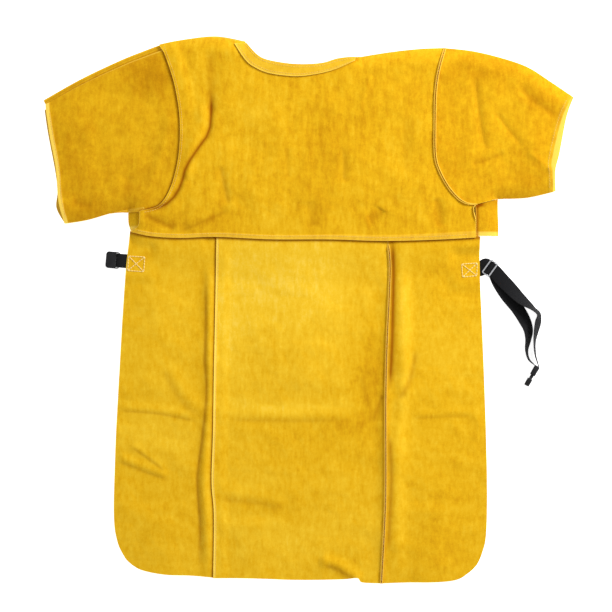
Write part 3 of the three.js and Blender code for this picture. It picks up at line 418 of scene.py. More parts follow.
def wall(points, thickness=LEATHER, pale=0.0, shade=0.0, tone=0.0, inside=INSIDE_PALE, inside_shade=0.0,
         rim=0.8):
    """A closed sheet about a grid of middle points: corners, faces, and each corner's paleness, painted shade
    and tone. Its cut edges show the pale core of the hide, as far as the rim says."""
    rows, columns = points.shape[:2]
    normal = np.cross(np.gradient(points, axis=1), np.gradient(points, axis=0))
    half = np.broadcast_to(thickness, (rows, columns)) / 2
    normal *= (half / np.linalg.norm(normal, axis=2))[..., None]
    corners = np.concatenate([points + normal, points - normal]).reshape(-1, 3)
    top = np.arange(rows * columns).reshape(rows, columns)
    low = top + rows * columns
    strips = [
        (top[:-1, :-1], top[:-1, 1:], top[1:, 1:], top[1:, :-1]),
        (low[:-1, :-1], low[1:, :-1], low[1:, 1:], low[:-1, 1:]),
        (top[0, :-1], low[0, :-1], low[0, 1:], top[0, 1:]),
        (top[-1, 1:], low[-1, 1:], low[-1, :-1], top[-1, :-1]),
        (top[1:, 0], low[1:, 0], low[:-1, 0], top[:-1, 0]),
        (top[:-1, -1], low[:-1, -1], low[1:, -1], top[1:, -1]),
    ]
    faces = np.concatenate([np.stack(strip, axis=-1).reshape(-1, 4) for strip in strips])
    cut = np.zeros((rows, columns))
    cut[[1, -2]] = cut[:, [1, -2]] = 0.15 * rim
    cut[[0, -1]] = cut[:, [0, -1]] = rim
    outer = np.dstack([np.maximum(cut, pale), *np.broadcast_arrays(shade, tone + 0 * cut)])
    inner = np.dstack([np.maximum(cut, inside), *np.broadcast_arrays(inside_shade, 0 * cut)])
    return corners, faces, np.concatenate([outer, inner]).reshape(-1, 3)


def blotches(table, x, y):
    """Paler and darker places: the hide's own tone, and painted light and shade on some folds and dents.
    Columns: x, y, width and height in mm, tone.
    """
    return sum(tone * np.exp(-((x - bx) / wide) ** 2 - ((y - by) / high) ** 2)
               for bx, by, wide, high, tone in table)


def hemmed(hem):
    """Thickness of a wall that is turned over on itself where the hem is 1."""
    return LEATHER + (HEM_THICK - LEATHER) * hem


def leather(node_name, walls, tone, streaks, seed):
    """One cut of suede from one or more walls, which stands for a node of the frame."""
    corners, faces, pale_painted_shade_tone, count = [], [], [], 0
    for wall_corners, wall_faces, wall_pale_painted_shade_tone in walls:
        corners.append(wall_corners)
        faces.extend((wall_faces + count).tolist())
        pale_painted_shade_tone.append(wall_pale_painted_shade_tone)
        count += len(wall_corners)
    piece = place_mesh(node_name + "_suede", np.concatenate(corners), faces)
    layer = piece.data.attributes.new("pale_painted_shade_tone", "FLOAT_VECTOR", "POINT")
    layer.data.foreach_set("vector", np.concatenate(pale_painted_shade_tone).astype(np.float32).ravel())
    piece.data.materials.append(suede(node_name + "_suede", tone, streaks, seed))
    soften(piece, 50)
    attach(piece, "root")
    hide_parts(node_name)
    return piece


EDGE_TURN = [(1.6, 3.9), (0.85, 2.7), (1.7, 1.5), (5.0, REST)]


def side_strip(side, length, inward, reach, share, slant, foot):
    """Rows up the side. Each runs from under the chest panel, round the edge and back along the floor. The
    upper ones slant down inwards, along the sleeve's lower edge."""
    rows = []
    for up in shares(length, 2.2):
        x, y = side(up * share)[0]
        top = np.array([reach + 3, reach * 0.75, reach * 0.5, 9, 4.5])
        level = y - slant * top * up**3
        under = CLEAR_LAP + UNDER_HEM * (1 - smooth(level, 142, 158))
        upper = zip(top, front_height(x + inward * top, level) - under)
        d, z = curve([*upper, *EDGE_TURN, (foot(y) - GAP, REST)])(np.linspace(0, 1, 40)).T
        rows.append(np.stack([x + inward * d, y - slant * d * up**3, np.maximum(z, REST)], axis=1))
    rows = np.array(rows)
    return rows[:, ::-1] if inward > 0 else rows


CENTRE_X = -9.0
BACK_OVERLAP = 15.0
BACK_HEM_Y = 140.0
SIDE_SHARE = 0.14
ARMPIT_SHARE = 0.19
BACK_NECK = curve([(-113.4, 485.1), (-98, 460), (-70, 442), (-20, 433), (30, 435), (62, 444), (97.2, 456.3)])
LEFT_NECK_END, RIGHT_NECK_START = 0.54, 0.42
LEFT_FOOT, LEFT_PIT = (-310.0, 152.0), (-313.0, 176.5)
RIGHT_FOOT, RIGHT_PIT = (330.0, 135.0), (331.0, 191.5)
LEFT_EDGE_X, RIGHT_EDGE_X = (-322.0, -324.0), (343.8, 342.3)
CLOSURE_LIFT = LEATHER + 1.2 + 2 * GAP
SEAM_SHADOW_X, ARMPIT_SHADOW = 304.5, (308.0, 190.0)
back_rows = shares(350, 5)


def left_back_hem(share):
    """From the foot of the side strip a short slant, then level to the overlap at the centre."""
    share = np.atleast_1d(share)
    return np.stack([LEFT_FOOT[0] + (CENTRE_X + BACK_OVERLAP - LEFT_FOOT[0]) * share,
                     LEFT_FOOT[1] + (BACK_HEM_Y - LEFT_FOOT[1]) * smooth(share, 0, 0.2)], axis=-1)


def over_closure(x, y):
    """The right half, lifted over the left one and the patch between them."""
    edge = CENTRE_X + BACK_OVERLAP
    return back_height(x, y) + CLOSURE_LIFT * (1 - smooth(x, edge + 4, edge + 40))


left_armhole_back = beside(LEFT_ARMHOLE, -2 * GAP)
left_back = panel(
    left_back_hem,
    joined((LEFT_SHOULDER, 0.55), (lambda s: BACK_NECK(s * LEFT_NECK_END), 1)),
    joined((straight(LEFT_FOOT, LEFT_PIT), SIDE_SHARE),
           (straight(LEFT_PIT, left_armhole_back(0.0)[0]), ARMPIT_SHARE), (left_armhole_back, 1)),
    straight((CENTRE_X + BACK_OVERLAP, BACK_HEM_Y), BACK_NECK(LEFT_NECK_END)[0]))
left_back = lay(left_back, shares(320, 5), back_rows, back_height)[:, ::-1]
left_foot_in = (LEFT_FOOT[0] - LEFT_EDGE_X[0], LEFT_PIT[0] - LEFT_EDGE_X[1])
left_strip = side_strip(LEFT_SIDE, length=36, inward=1, reach=20, share=0.945, slant=0.13,
                        foot=lambda y: np.interp(y, (LEFT_FOOT[1], LEFT_PIT[1]), left_foot_in))
y = left_strip[..., 1]
# Darker towards the top: painted shadow under the sleeve's edge.
left_strip_wall = wall(left_strip, pale=0.9 * (1 - smooth(y, 151, 153)), shade=0.3 * smooth(y, 164, 181))
leather("yoke_back_left", [wall(left_back), left_strip_wall],
        tone=-0.02, streaks=STREAKS, seed=1)

right_armhole_back = beside(RIGHT_ARMHOLE, 2 * GAP)
right_back = panel(
    straight((CENTRE_X - BACK_OVERLAP, BACK_HEM_Y), RIGHT_FOOT),
    joined((lambda s: BACK_NECK(RIGHT_NECK_START + (1 - RIGHT_NECK_START) * s), 0.45), (RIGHT_SHOULDER, 1)),
    straight((CENTRE_X - BACK_OVERLAP, BACK_HEM_Y), BACK_NECK(RIGHT_NECK_START)[0]),
    joined((straight(RIGHT_FOOT, RIGHT_PIT), SIDE_SHARE),
           (straight(RIGHT_PIT, right_armhole_back(0.0)[0]), ARMPIT_SHARE), (right_armhole_back, 1)))
right_back = lay(right_back, shares(350, 5), back_rows, over_closure)[:, ::-1]
right_foot_in = (RIGHT_EDGE_X[0] - RIGHT_FOOT[0], RIGHT_EDGE_X[1] - RIGHT_PIT[0])
right_strip = side_strip(RIGHT_SIDE, length=66, inward=-1, reach=38, share=0.999, slant=0.226,
                         foot=lambda y: np.interp(y, (RIGHT_FOOT[1], RIGHT_PIT[1]), right_foot_in))
x, y = right_strip[..., 0], right_strip[..., 1]
in_armpit = ((x - ARMPIT_SHADOW[0]) / 7) ** 2 + ((y - ARMPIT_SHADOW[1]) / 3.5) ** 2
right_shadow = (0.8 * np.exp(-((x - SEAM_SHADOW_X) / 2.6) ** 2) + 0.45 * smooth(y, 178, 200)
                + 1.2 * np.exp(-in_armpit))
right_strip_wall = wall(right_strip, pale=0.75 * (1 - smooth(y, 140, 143)), shade=right_shadow, tone=-0.14)
leather("yoke_back_right", [wall(right_back), right_strip_wall],
        tone=0.0, streaks=STREAKS, seed=2)

# Back closure: one plain woven patch that holds the two back halves together where they overlap.
# It lies between them, out of sight.


def rounded_copy(node_name, name, radius):
    """A copy of a frame node with its loose triangles merged and its edges rounded."""
    piece = bpy.data.objects.new(name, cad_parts[node_name].data.copy())
    bpy.context.scene.collection.objects.link(piece)
    piece.data.materials.clear()
    select_only(piece)
    bpy.ops.object.mode_set(mode="EDIT")
    bpy.ops.mesh.select_all(action="SELECT")
    bpy.ops.mesh.remove_doubles(threshold=1e-5)
    bpy.ops.mesh.dissolve_limited(angle_limit=math.radians(1))
    bpy.ops.object.mode_set(mode="OBJECT")
    bevel = piece.modifiers.new("rounded_edges", "BEVEL")
    bevel.width = radius
    bevel.segments = 2
    bevel.limit_method = "ANGLE"
    bevel.angle_limit = math.radians(40)
    bpy.ops.object.modifier_apply(modifier=bevel.name)
    soften(piece, 35)
    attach(piece, "root")
    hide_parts(node_name)
    return piece


def woven(name, yarn, hollow_shade, pitch_along, pitch_across):
    """Webbing: raised yarns over and under each other, on the piece's own map in metres."""
    material, tree, sockets = principled(name)
    place = node(tree, "UVMap", {}, uv_map="weave").outputs["UV"]
    along = node(tree, "SeparateXYZ", {"Vector": place}).outputs
    rows = arithmetic(tree, "SINE", arithmetic(tree, "MULTIPLY", along["X"], 2 * math.pi / pitch_along))
    columns = arithmetic(tree, "SINE", arithmetic(tree, "MULTIPLY", along["Y"], 2 * math.pi / pitch_across))
    yarns = arithmetic(tree, "MULTIPLY", rows, columns)
    fuzz = node(tree, "TexNoise", {"Vector": place, "Scale": 900.0, "Detail": 2.0})
    height = arithmetic(tree, "MULTIPLY_ADD", fuzz.outputs["Fac"], 0.8, yarns)
    level = node(tree, "MapRange", {"Value": height, "From Min": -0.7, "From Max": 1.4}).outputs[0]
    # Between the yarns the colour darkens to a painted shade in the hollows of the weave.
    tree.links.new(blend(tree, level, (*hollow_shade, 1.0), (*yarn, 1.0)), sockets["Base Color"])
    tree.links.new(bumped(tree, height, 0.6, 0.0003), sockets["Normal"])
    sockets["Roughness"].default_value = 0.8
    sockets["Specular IOR Level"].default_value = 0.14
    return material


closure = rounded_copy("back_closure", "back_closure_patch", 0.0004)
weave_map = closure.data.uv_layers.new(name="weave")
for loop, corner in zip(closure.data.loops, weave_map.data):
    corner.uv = closure.data.vertices[loop.vertex_index].co.yx
# Dark grey yarns; the second colour is the painted shade between them.
closure_weave = woven("closure_weave", (0.030, 0.030, 0.033), (0.010, 0.010, 0.012), 0.0024, 0.0024)
closure.data.materials.append(closure_weave)

# Sleeves: a front and a back half of suede each, sewn along the top and under the arm, with a turned hem at
# the cuff. The left back half comes forward over the top edge; the right front half's armhole edge stands up.
TUCK = 9.0
SLEEVE_WRAP = 10.0
FLANGE, SPLAY = 3.8, math.radians(110)
FLANGE_STEPS = (0.15, 0.4, 0.75, 1.0)
CUFF_HEM = 8.0
SEAM_HALF = LEATHER * 0.37
SEAM_RIM = 0.55
UNDER_SHARE = 0.86
LEFT_ARMHOLE_CHAIN = LEFT_ARMHOLE(np.linspace(0, 1, 49))
LEFT_CUFF = curve([(-473.4, 377.1), (-464.4, 315.9), (-452.7, 252.9), (-448.6, 198.9), (-438.6, 157.0)])
LEFT_BACK_CUFF = curve([(-477, 378.9), (-469.8, 324.9), (-456, 252), (-451.8, 215), (-453.6, 184.5),
                        (-438, 156.5)])
RIGHT_CUFF = curve([(475.2, 385.2), (459, 351.9), (446.4, 308.7), (437.4, 265.5), (439.2, 249.3),
                    (441, 213.3)])
RIGHT_BACK_CUFF = curve([(478.8, 384.3), (466.2, 348.3), (453.6, 283.5), (446.4, 252.9), (446.4, 215.1)])


def back_to_front(edge):
    return lambda share: edge(1 - np.atleast_1d(share))


def turn_up(points, angle, length):
    """Extra columns past the last one, turned up from it: the standing edge of a seam."""
    out = points[:, -1] - points[:, -2]
    out[:, 2] = 0
    out /= np.linalg.norm(out, axis=1, keepdims=True)
    rise = out * np.cos(angle)[:, None] + np.array([0, 0, 1.0]) * np.sin(angle)[:, None]
    extra = [points[:, -1] + rise * (length * step)[:, None] for step in FLANGE_STEPS]
    return np.concatenate([points, np.stack(extra, axis=1)], axis=1)


def standing_edge(points, steps=len(FLANGE_STEPS) + 1):
    """1 on the columns of a standing edge and at its foot, 0 on the rest of the panel."""
    columns = points.shape[1]
    return np.broadcast_to(np.arange(columns) >= columns - steps, points.shape[:2]).astype(float)


def mixed(first, second, weight):
    """From one edge to another as the weight goes from 0 to 1."""
    def at(share):
        w = weight(np.atleast_1d(share))[:, None]
        return (1 - w) * first(share) + w * second(share)

    return at


def hem_strip(points, edge, depth):
    """1 on the turned hem along an edge, 0 past its depth."""
    distance = nearest(edge(np.linspace(0, 1, 33)), points[..., 0], points[..., 1])[0]
    return 1 - smooth(distance, depth - 0.8, depth + 0.8)


ARMPIT_CORNER = (-295.0, 186.0)
SEAM_START, TUCK_END = 0.004, 0.965
LEFT_SLEEVE_TONES = [(-285, 425, 45, 30, -0.2), (-420, 260, 40, 60, -0.06), (-340, 320, 50, 60, 0.05),
                     (-270, 300, 22, 90, 0.06), (-400, 180, 50, 20, -0.1), (-380, 380, 60, 30, 0.06)]
left_tuck = beside(LEFT_ARMHOLE, -TUCK)
left_seam_top = beside(LEFT_TOP, -SLEEVE_WRAP)
left_front = panel(
    joined((LEFT_UNDERARM, UNDER_SHARE), (straight(LEFT_UNDERARM(1.0)[0], ARMPIT_CORNER), 1)),
    lambda s: left_seam_top(SEAM_START + (1 - SEAM_START) * np.atleast_1d(s)),
    back_to_front(mixed(lambda s: left_seam_top(SEAM_START + 0 * np.atleast_1d(s)), LEFT_CUFF,
                        lambda s: smooth(s, 0, 0.12))),
    mixed(straight(ARMPIT_CORNER, ARMPIT_CORNER), lambda s: left_tuck(TUCK_END * np.atleast_1d(s)),
          lambda s: smooth(s, 0, 0.1)))
points = lay(left_front, shares(215, 2.4), shares(280, 2.4), front_height)
x, y = points[..., 0], points[..., 1]
hem = hem_strip(points, LEFT_CUFF, CUFF_HEM - LEATHER)
tucked = nearest(LEFT_ARMHOLE_CHAIN, x, y)[0]
# Painted shade in the creases and a painted shadow along the chest panel's lapped edge.
shade = folds(CHEST_FOLDS, x, y, crease=True) + 0.75 * np.exp(-(tucked / 3.0) ** 2)
leather("sleeve_front_left",
        [wall(points, hemmed(hem), 0.95 * hem, shade, blotches(LEFT_SLEEVE_TONES, x, y))],
        tone=-0.1, streaks=STREAKS, seed=3)

LEFT_RIDGE = 5.5
left_under = joined((LEFT_UNDERARM, UNDER_SHARE), (straight(LEFT_UNDERARM(1.0)[0], LEFT_ARMHOLE(0.0)[0]), 1))
left_back = panel(left_under, LEFT_TOP, back_to_front(LEFT_BACK_CUFF), beside(LEFT_ARMHOLE, 2 * GAP))
columns, rows = shares(225, 4) * 0.997, shares(280, 5) * 0.92
points = lay(left_back, columns, rows, back_height)
settle = smooth(rows, 0.75, 0.9)[:, None]
points[..., 2] = points[..., 2] * (1 - settle) + REST * settle
place, ahead = LEFT_TOP(columns), LEFT_TOP(columns + 0.002) - LEFT_TOP(columns - 0.002)
ahead /= np.linalg.norm(ahead, axis=1, keepdims=True)
inward = np.stack([ahead[:, 1], -ahead[:, 0]], axis=1)
wrap = []
for share, start, across in zip(columns, place, inward):
    top = np.array([4.5, 8.0, SLEEVE_WRAP + 3])
    under = CLEAR_LAP + UNDER_HEM * (1 - smooth(share, 0.06, 0.14))
    on = start + across * top[:, None]
    upper = zip(top, front_height(on[:, 0], on[:, 1]) - under)
    d, z = curve([(14, REST), *EDGE_TURN[::-1], *upper])(np.linspace(0, 1, 26)).T
    wrap.append(np.column_stack([start + across * d[:, None], np.maximum(z, REST)]))
points = np.concatenate([points, np.stack(wrap, axis=1)], axis=0)[:, ::-1]
x, y = points[..., 0], points[..., 1]
ridge = nearest(beside(LEFT_TOP, -LEFT_RIDGE)(np.linspace(0, 1, 25)), x, y)[0]
seam = nearest(left_seam_top(np.linspace(0, 1, 25)), x, y)[0]
# Painted shade in a crease along the wrapped strip, and a painted shadow along the seam under the front's
# edge.
top_shade = 0.4 * np.exp(-(ridge / 1.5) ** 2) + 0.6 * np.exp(-(seam / 1.6) ** 2)
leather("sleeve_back_left", [wall(points, shade=top_shade, tone=0.06)],
        tone=-0.08, streaks=STREAKS, seed=4)

# Tones of the right sleeve. The small dark spot on the shaded crease at (405, 380) is painted shade.
RIGHT_SLEEVE_TONES_AND_SHADE = [(310, 432, 60, 22, -0.12), (330, 330, 60, 50, 0.03), (405, 380, 20, 16, -0.07),
                      (270, 260, 30, 40, -0.04), (385, 235, 50, 22, -0.04), (430, 350, 22, 40, -0.06)]
RIGHT_UNDER_SHARE = UNDER_SHARE - 0.12
FLANGE_START = 1.2
right_under = joined((RIGHT_UNDERARM, RIGHT_UNDER_SHARE),
                     (straight(RIGHT_UNDERARM(1.0)[0], RIGHT_ARMHOLE(0.0)[0]), 1))
right_top = back_to_front(RIGHT_TOP)
right_front = panel(right_under, right_top, back_to_front(RIGHT_CUFF), beside(RIGHT_ARMHOLE, -SEAM_HALF))
rows = shares(280, 2.4)
points = lay(right_front, shares(215, 2.4), rows, front_height)
flange = FLANGE_START + (FLANGE - FLANGE_START) * smooth(rows, 0, 0.1)
points = turn_up(points, np.full(rows.size, SPLAY), flange)[:, ::-1]
x, y = points[..., 0], points[..., 1]
hem = hem_strip(points, RIGHT_CUFF, CUFF_HEM)
standing = standing_edge(points)[:, ::-1]
# Painted shade in the creases, a little painted shade on the standing edge, more on its faces inside the
# seam.
shade = 0.7 * folds(CHEST_FOLDS, x, y, crease=True) + 0.05 * standing
leather("sleeve_front_right",
        [wall(points, hemmed(hem), 0.1 * hem, shade, blotches(RIGHT_SLEEVE_TONES_AND_SHADE, x, y),
              inside=INSIDE_PALE * (1 - standing), inside_shade=0.12 * standing, rim=SEAM_RIM)],
        tone=-0.1, streaks=STREAKS, seed=5)
right_back = panel(right_under, right_top, back_to_front(RIGHT_BACK_CUFF), beside(RIGHT_ARMHOLE, -2 * GAP))
points = lay(right_back, shares(215, 5), shares(280, 5), back_height)
leather("sleeve_back_right", [wall(points, inside=0.95)],
        tone=0.0, streaks=STREAKS, seed=6)

# Chest panel: one wide cut of suede with the neck scooped out and a turned hem that laps over the skirt.
# Its left armhole edge is lapped over the sleeve; the right one stands up beside the sleeve's edge.
SHOULDER_SHARE, NECK_SHARE = 0.3, 0.71
HEM_SHARE, HEM_STEP = 0.03, 0.003
OVER_SLEEVE = LAP + 0.75
SHOULDER_DROP, CORNER_LAP = 3.0, 3.5
NECK = curve([(-113.4, 485.1), (-90, 459.9), (-68.4, 449.1), (-21.6, 441.9), (25.2, 443.7), (57.6, 452.7),
              (97.2, 456.3)])
BAND = curve([(-135, 484), (-113.4, 450.9), (-95.4, 436.5), (-68.4, 425.7), (-23.4, 420.3), (12.6, 423.9),
              (48.6, 432.9), (88, 450.5)])
LEFT_SEAM = curve([(-318.6, 141.3), (-305.1, 153.9), (-302.4, 179.1)])
RIGHT_SEAM = curve([(298, 131), (298, 186)])


def chest_height(x, y):
    raised = 1 - smooth(nearest(LEFT_ARMHOLE_CHAIN, x, y)[0], TUCK + 5, TUCK + 26)
    return front_height(x, y) + OVER_SLEEVE * raised


# Tones of the chest panel. The dark spots at the armpit hollow and at the dents near the hem are painted
# shade.
CHEST_TONES_AND_SHADE = [(-200, 430, 60, 45, 0.05), (-205, 330, 25, 70, 0.03), (-110, 330, 55, 110, 0.06),
               (35, 290, 22, 90, -0.08), (105, 330, 24, 100, -0.06), (200, 400, 30, 60, -0.06),
               (-250, 160, 40, 14, -0.08), (-150, 165, 35, 22, -0.06), (10, 160, 16, 26, -0.1),
               (115, 165, 16, 26, -0.12), (232, 165, 14, 30, -0.1), (60, 165, 30, 20, 0.06),
               (-60, 160, 50, 25, 0.08)]
shoulder_lap = mixed(LEFT_ARMHOLE, beside(LEFT_ARMHOLE, CORNER_LAP), lambda s: smooth(s, 0.94, 1))
chest = panel(
    HEM,
    joined((beside(LEFT_SHOULDER, -SHOULDER_DROP), SHOULDER_SHARE), (NECK, NECK_SHARE), (RIGHT_SHOULDER, 1)),
    joined((LEFT_SEAM, SIDE_SHARE), (shoulder_lap, 1)),
    joined((RIGHT_SEAM, SIDE_SHARE), (beside(RIGHT_ARMHOLE, SEAM_HALF), 1)))
rows = shares(350, 2.2, marks=(HEM_SHARE - HEM_STEP, HEM_SHARE, HEM_SHARE + HEM_STEP))
points = lay(chest, shares(560, 2.2), rows, chest_height)
points = turn_up(points, SPLAY * smooth(rows, 0.05, 0.14), np.full(rows.size, FLANGE))
x, y = points[..., 0], points[..., 1]
hem = np.broadcast_to((1 - smooth(rows, HEM_SHARE - HEM_STEP, HEM_SHARE + HEM_STEP))[:, None], x.shape)
band_shadow = nearest(BAND(np.linspace(0, 1, 33)), x, y)[0]
standing = standing_edge(points) * smooth(rows, 0.1, 0.16)[:, None]
# Painted shade in creases, painted shadow below the neck band, painted shade on the standing edge and inside
# it.
shade = folds(CHEST_FOLDS, x, y, crease=True) + 0.3 * np.exp(-(band_shadow / 2.6) ** 2) + 0.05 * standing
leather("yoke_front",
        [wall(points, hemmed(hem), 0.2 * hem, shade, blotches(CHEST_TONES_AND_SHADE, x, y),
              inside=INSIDE_PALE * (1 - standing), inside_shade=0.12 * standing, rim=SEAM_RIM)],
        tone=-0.03, streaks=0.42, seed=7)

# Neck band: a narrow strip of the same suede, cut to the curve of the front neckline, laid on the chest panel
# and sewn down with two rows of thread. Its lower edge is cut raw and shows pale.
BAND_CLEAR = 0.35
band = panel(BAND, NECK, straight(BAND(0.0)[0], NECK(0.005)[0]), straight(BAND(1.0)[0], NECK(0.97)[0]))


def band_height(x, y):
    return front_height(x, y) + LAP + BAND_CLEAR


points = lay(band, 0.02 + 0.96 * shares(260, 2.5), 0.98 * shares(24, 2.5), band_height)
band_edge = 0.12 + 0.6 * (1 - smooth(np.arange(points.shape[0]), 0, 3))
band_edge = np.broadcast_to(band_edge[:, None], points.shape[:2])
leather("neck_band", [wall(points, pale=band_edge)],
        tone=0.04, streaks=0.1, seed=8)

# Skirt: three long suede panels that hang from under the chest panel's hem. The centre one is lapped over the
# left; at the right both edges of the seam stand up. Sides and bottom are cut raw, with rounded corners.
SKIRT_DROP, SEAM_DIP = 85.0, 1.6
PATCH_HALF, PATCH_MARGIN = 22.0, 22.0
WEB_THICK = 1.4
STUB_X, STUB_Y, STUB_TURN = -309.6, 87.3, -5.0
ANCHOR_X, ANCHOR_Y = 293.0, 73.8
OVER_STUB = 2 * WEB_THICK + 2.5 * GAP + LEATHER / 2 + 0.3
OVER_ANCHOR = WEB_THICK + GAP + LEATHER / 2 + 0.6
SKIRT_LEFT_SIDE = curve([(-320.6, 143.2), (-331.2, 36.9), (-342, -143.1), (-347.4, -251.1), (-350.1, -368.1),
                         (-343.8, -416.7), (-331.3, -444), (-324, -452.7)])
SKIRT_RIGHT_SIDE = curve([(309.6, 133), (309.6, 72.9), (315, -53.1), (320.4, -197.1), (323.1, -323.1),
                          (321.3, -404.1), (315, -434.7), (306.5, -455.5), (298.8, -465.3)])
TOP_LEFT = curve([(-320.6, 143.2), (-300, 142.8), (-270, 142), (-154, 140)])
TOP_CENTRE = curve([(-164.5, 140), (-30, 137), (141.3, 134)])
TOP_RIGHT = curve([(143.1, 134), (250, 137), (288, 138), (309.6, 133)])
BOTTOM_LEFT = curve([(-324, -452.7), (-315, -460.2), (-297, -468.9), (-257.4, -476.1), (-208.8, -477.9),
                     (-161, -482)])
BOTTOM_CENTRE = curve([(-171, -482.6), (-93.6, -483.3), (-21.6, -486), (57.6, -485.1), (88.2, -482.4),
                       (97.2, -490.5), (131.2, -492.3)])
BOTTOM_RIGHT = curve([(133, -492.3), (183.6, -490.5), (237.6, -489.6), (270, -485.1), (289.5, -473.3),
                      (298.8, -465.3)])
SEAM_LEFT = curve([(-164.5, 140), (-167.6, -9.4), (-169.7, -112.3), (-171.2, -215.1), (-173.9, -307.6),
                   (-169.7, -369.4), (-171, -482.6)])
SEAM_RIGHT = curve([(142.2, 134), (147.6, 83.7), (145.8, 17.1), (142.2, -60.3), (139.9, -162.9),
                    (139.9, -317.7), (137.3, -395.1), (132.1, -492.3)])
SEAM_LEFT_CHAIN = SEAM_LEFT(np.linspace(0, 1, 49))
SEAM_RIGHT_CHAIN = SEAM_RIGHT(np.linspace(0, 1, 49))

# Folds of the skirt, in the same columns as those of the chest.
SKIRT_FOLDS = [
    ("left seam roll", 5, 10, 0, [(-177, 110), (-179, 0), (-178, -143), (-184, -233), (-187, -314),
     (-182, -395), (-180, -500)]),
    ("left roll crease", -1.6, 5, 0.55, [(-185, 80), (-184, -20), (-186, -112), (-182, -143), (-190, -226),
     (-200, -305), (-195, -379), (-196, -480)]),
    ("right seam lift", 3, 12, 0, [(142, 110), (146, 17), (140, -163), (140, -318), (133, -500)]),
    ("right seam roll", 4.2, 15, 0, [(169, 110), (169, -35), (171, -143), (159, -233), (160, -341),
     (158, -500)]),
    ("right seam valley", -2.0, 8, 1.0, [(150, 138), (154, 84), (153, 10), (151, -70), (147, -150)]),
    ("right lower valley", -1.0, 7, 0.55, [(146, -215), (150, -290), (148, -360), (144, -440)]),
    ("right roll end", -1.6, 9, 0.3, [(196, -70), (182, -130), (160, -165)]),
    ("left storage fold", 1.6, 9, 0, [(-350, -174), (-300, -177), (-266, -181), (-195, -193)]),
    ("left storage crease", -0.8, 4, 0.24, [(-345, -181), (-290, -184), (-266, -187), (-200, -200)]),
    ("centre storage fold", 1.6, 12, 0, [(-150, -186), (-14, -190), (84, -187)]),
    ("centre storage crease", -0.6, 6, 0.14, [(-150, -197), (-14, -200), (84, -196)]),
    ("right storage fold", 1.2, 9, 0, [(185, -188), (268, -184), (322, -184)]),
    ("right storage crease", -0.6, 5, 0.16, [(185, -195), (268, -191), (296, -190)]),
    ("right edge crease", 1.2, 8, 0, [(294, -186), (310, -206), (298, -238)]),
    ("left slant fold", 2.4, 9, 0, [(-346, -262), (-300, -280), (-250, -300)]),
    ("left slant crease", -1.0, 5, 0.2, [(-344, -272), (-300, -290), (-246, -307)]),
    ("left upper slant", 1.6, 7, 0, [(-322, -240), (-290, -262), (-256, -288)]),
    ("left upper slant crease", -0.8, 4, 0.26, [(-318, -246), (-286, -269), (-258, -290)]),
    ("left seam slant", 2.0, 15, 0, [(-256, -96), (-226, -150), (-186, -190)]),
    ("left seam slant shade", -0.8, 9, 0.12, [(-262, -104), (-232, -158), (-196, -192)]),
    ("centre lower fold", 1.6, 13, 0, [(-162, -330), (-100, -335), (-36, -348)]),
    ("centre lower shade", -0.6, 9, 0.14, [(-164, -341), (-100, -346), (-40, -359)]),
    ("hem pleat", 4, 11, 0, [(18, -447), (58, -462), (97, -490)]),
    ("hem pleat crease", -1.0, 7, 0.35, [(30, -458), (58, -470), (88, -488)]),
    ("centre right dent", -1.0, 9, 0.22, [(96, -116), (104, -152), (112, -178)]),
    ("right seam tuck", -1.2, 8, 0.35, [(118, -205), (124, -178), (136, -150)]),
    ("left wave", 2, 42, 0, [(-268, 90), (-290, -160)]),
    ("centre wave", 2.4, 60, 0, [(-14, 100), (-20, -160)]),
    ("left hem wave", 2.2, 40, 0, [(-280, -340), (-262, -500)]),
    ("centre hem wave", 2, 45, 0, [(-100, -370), (-92, -510)]),
    ("right hem wave", 2.4, 40, 0, [(222, -340), (232, -510)]),
]


def patch_over(x, y, centre_x, centre_y):
    """1 where webbing is sewn beneath, falling to 0 round it."""
    return ((1 - smooth(np.abs(x - centre_x), PATCH_HALF, PATCH_HALF + PATCH_MARGIN))
            * (1 - smooth(np.abs(y - centre_y), PATCH_HALF, PATCH_HALF + PATCH_MARGIN)))


SKIRT_RIPPLES = [(0.5, 120, 11), (0.24, 42, 12), (0.07, 14, 13)]


def skirt_height(x, y):
    """Middle of the skirt: from under the hem down to the floor, with folds, and lifted over the webbing."""
    hem = hem_y(x)
    under = front_height(x, hem) - HEM_THICK / 2 - GAP - LEATHER / 2
    drop = 1 - smooth(hem - y, 0, SKIRT_DROP)
    dip = SEAM_DIP * np.exp(-(nearest(SEAM_RIGHT_CHAIN, x, y)[0] / 12) ** 2) * drop
    uneven = np.maximum(0.3 + rippled(SKIRT_RIPPLES, x, y), 0)
    cloth = REST + (under - REST) * drop - dip + (folds(SKIRT_FOLDS, x, y) + uneven) * (1 - drop)
    left, right = patch_over(x, y, STUB_X, STUB_Y), patch_over(x, y, ANCHOR_X, ANCHOR_Y)
    return np.maximum(cloth, REST) * (1 - left) * (1 - right) + OVER_STUB * left + OVER_ANCHOR * right


def under_hem(x, y):
    return 1 - smooth(hem_y(x) - y, 4, 40)


def lap_share(x, y):
    return 1 - smooth(nearest(SEAM_LEFT_CHAIN, x, y)[0], TUCK + 3, TUCK + 22)


def skirt_shade(x, y):
    """Painted shade in the creases, and a painted shadow along the line under the chest panel's hem."""
    return folds(SKIRT_FOLDS, x, y, crease=True) + 0.9 * np.exp(-((hem_y(x) - y) / 3.6) ** 2)


def left_skirt_height(x, y):
    """Under the centre panel's lap where both pass under the chest panel's hem."""
    return skirt_height(x, y) - CLEAR_LAP * lap_share(x, y) * under_hem(x, y)


def centre_skirt_height(x, y):
    """Over the left panel along their seam."""
    return skirt_height(x, y) + CLEAR_LAP * lap_share(x, y) * (1 - under_hem(x, y))


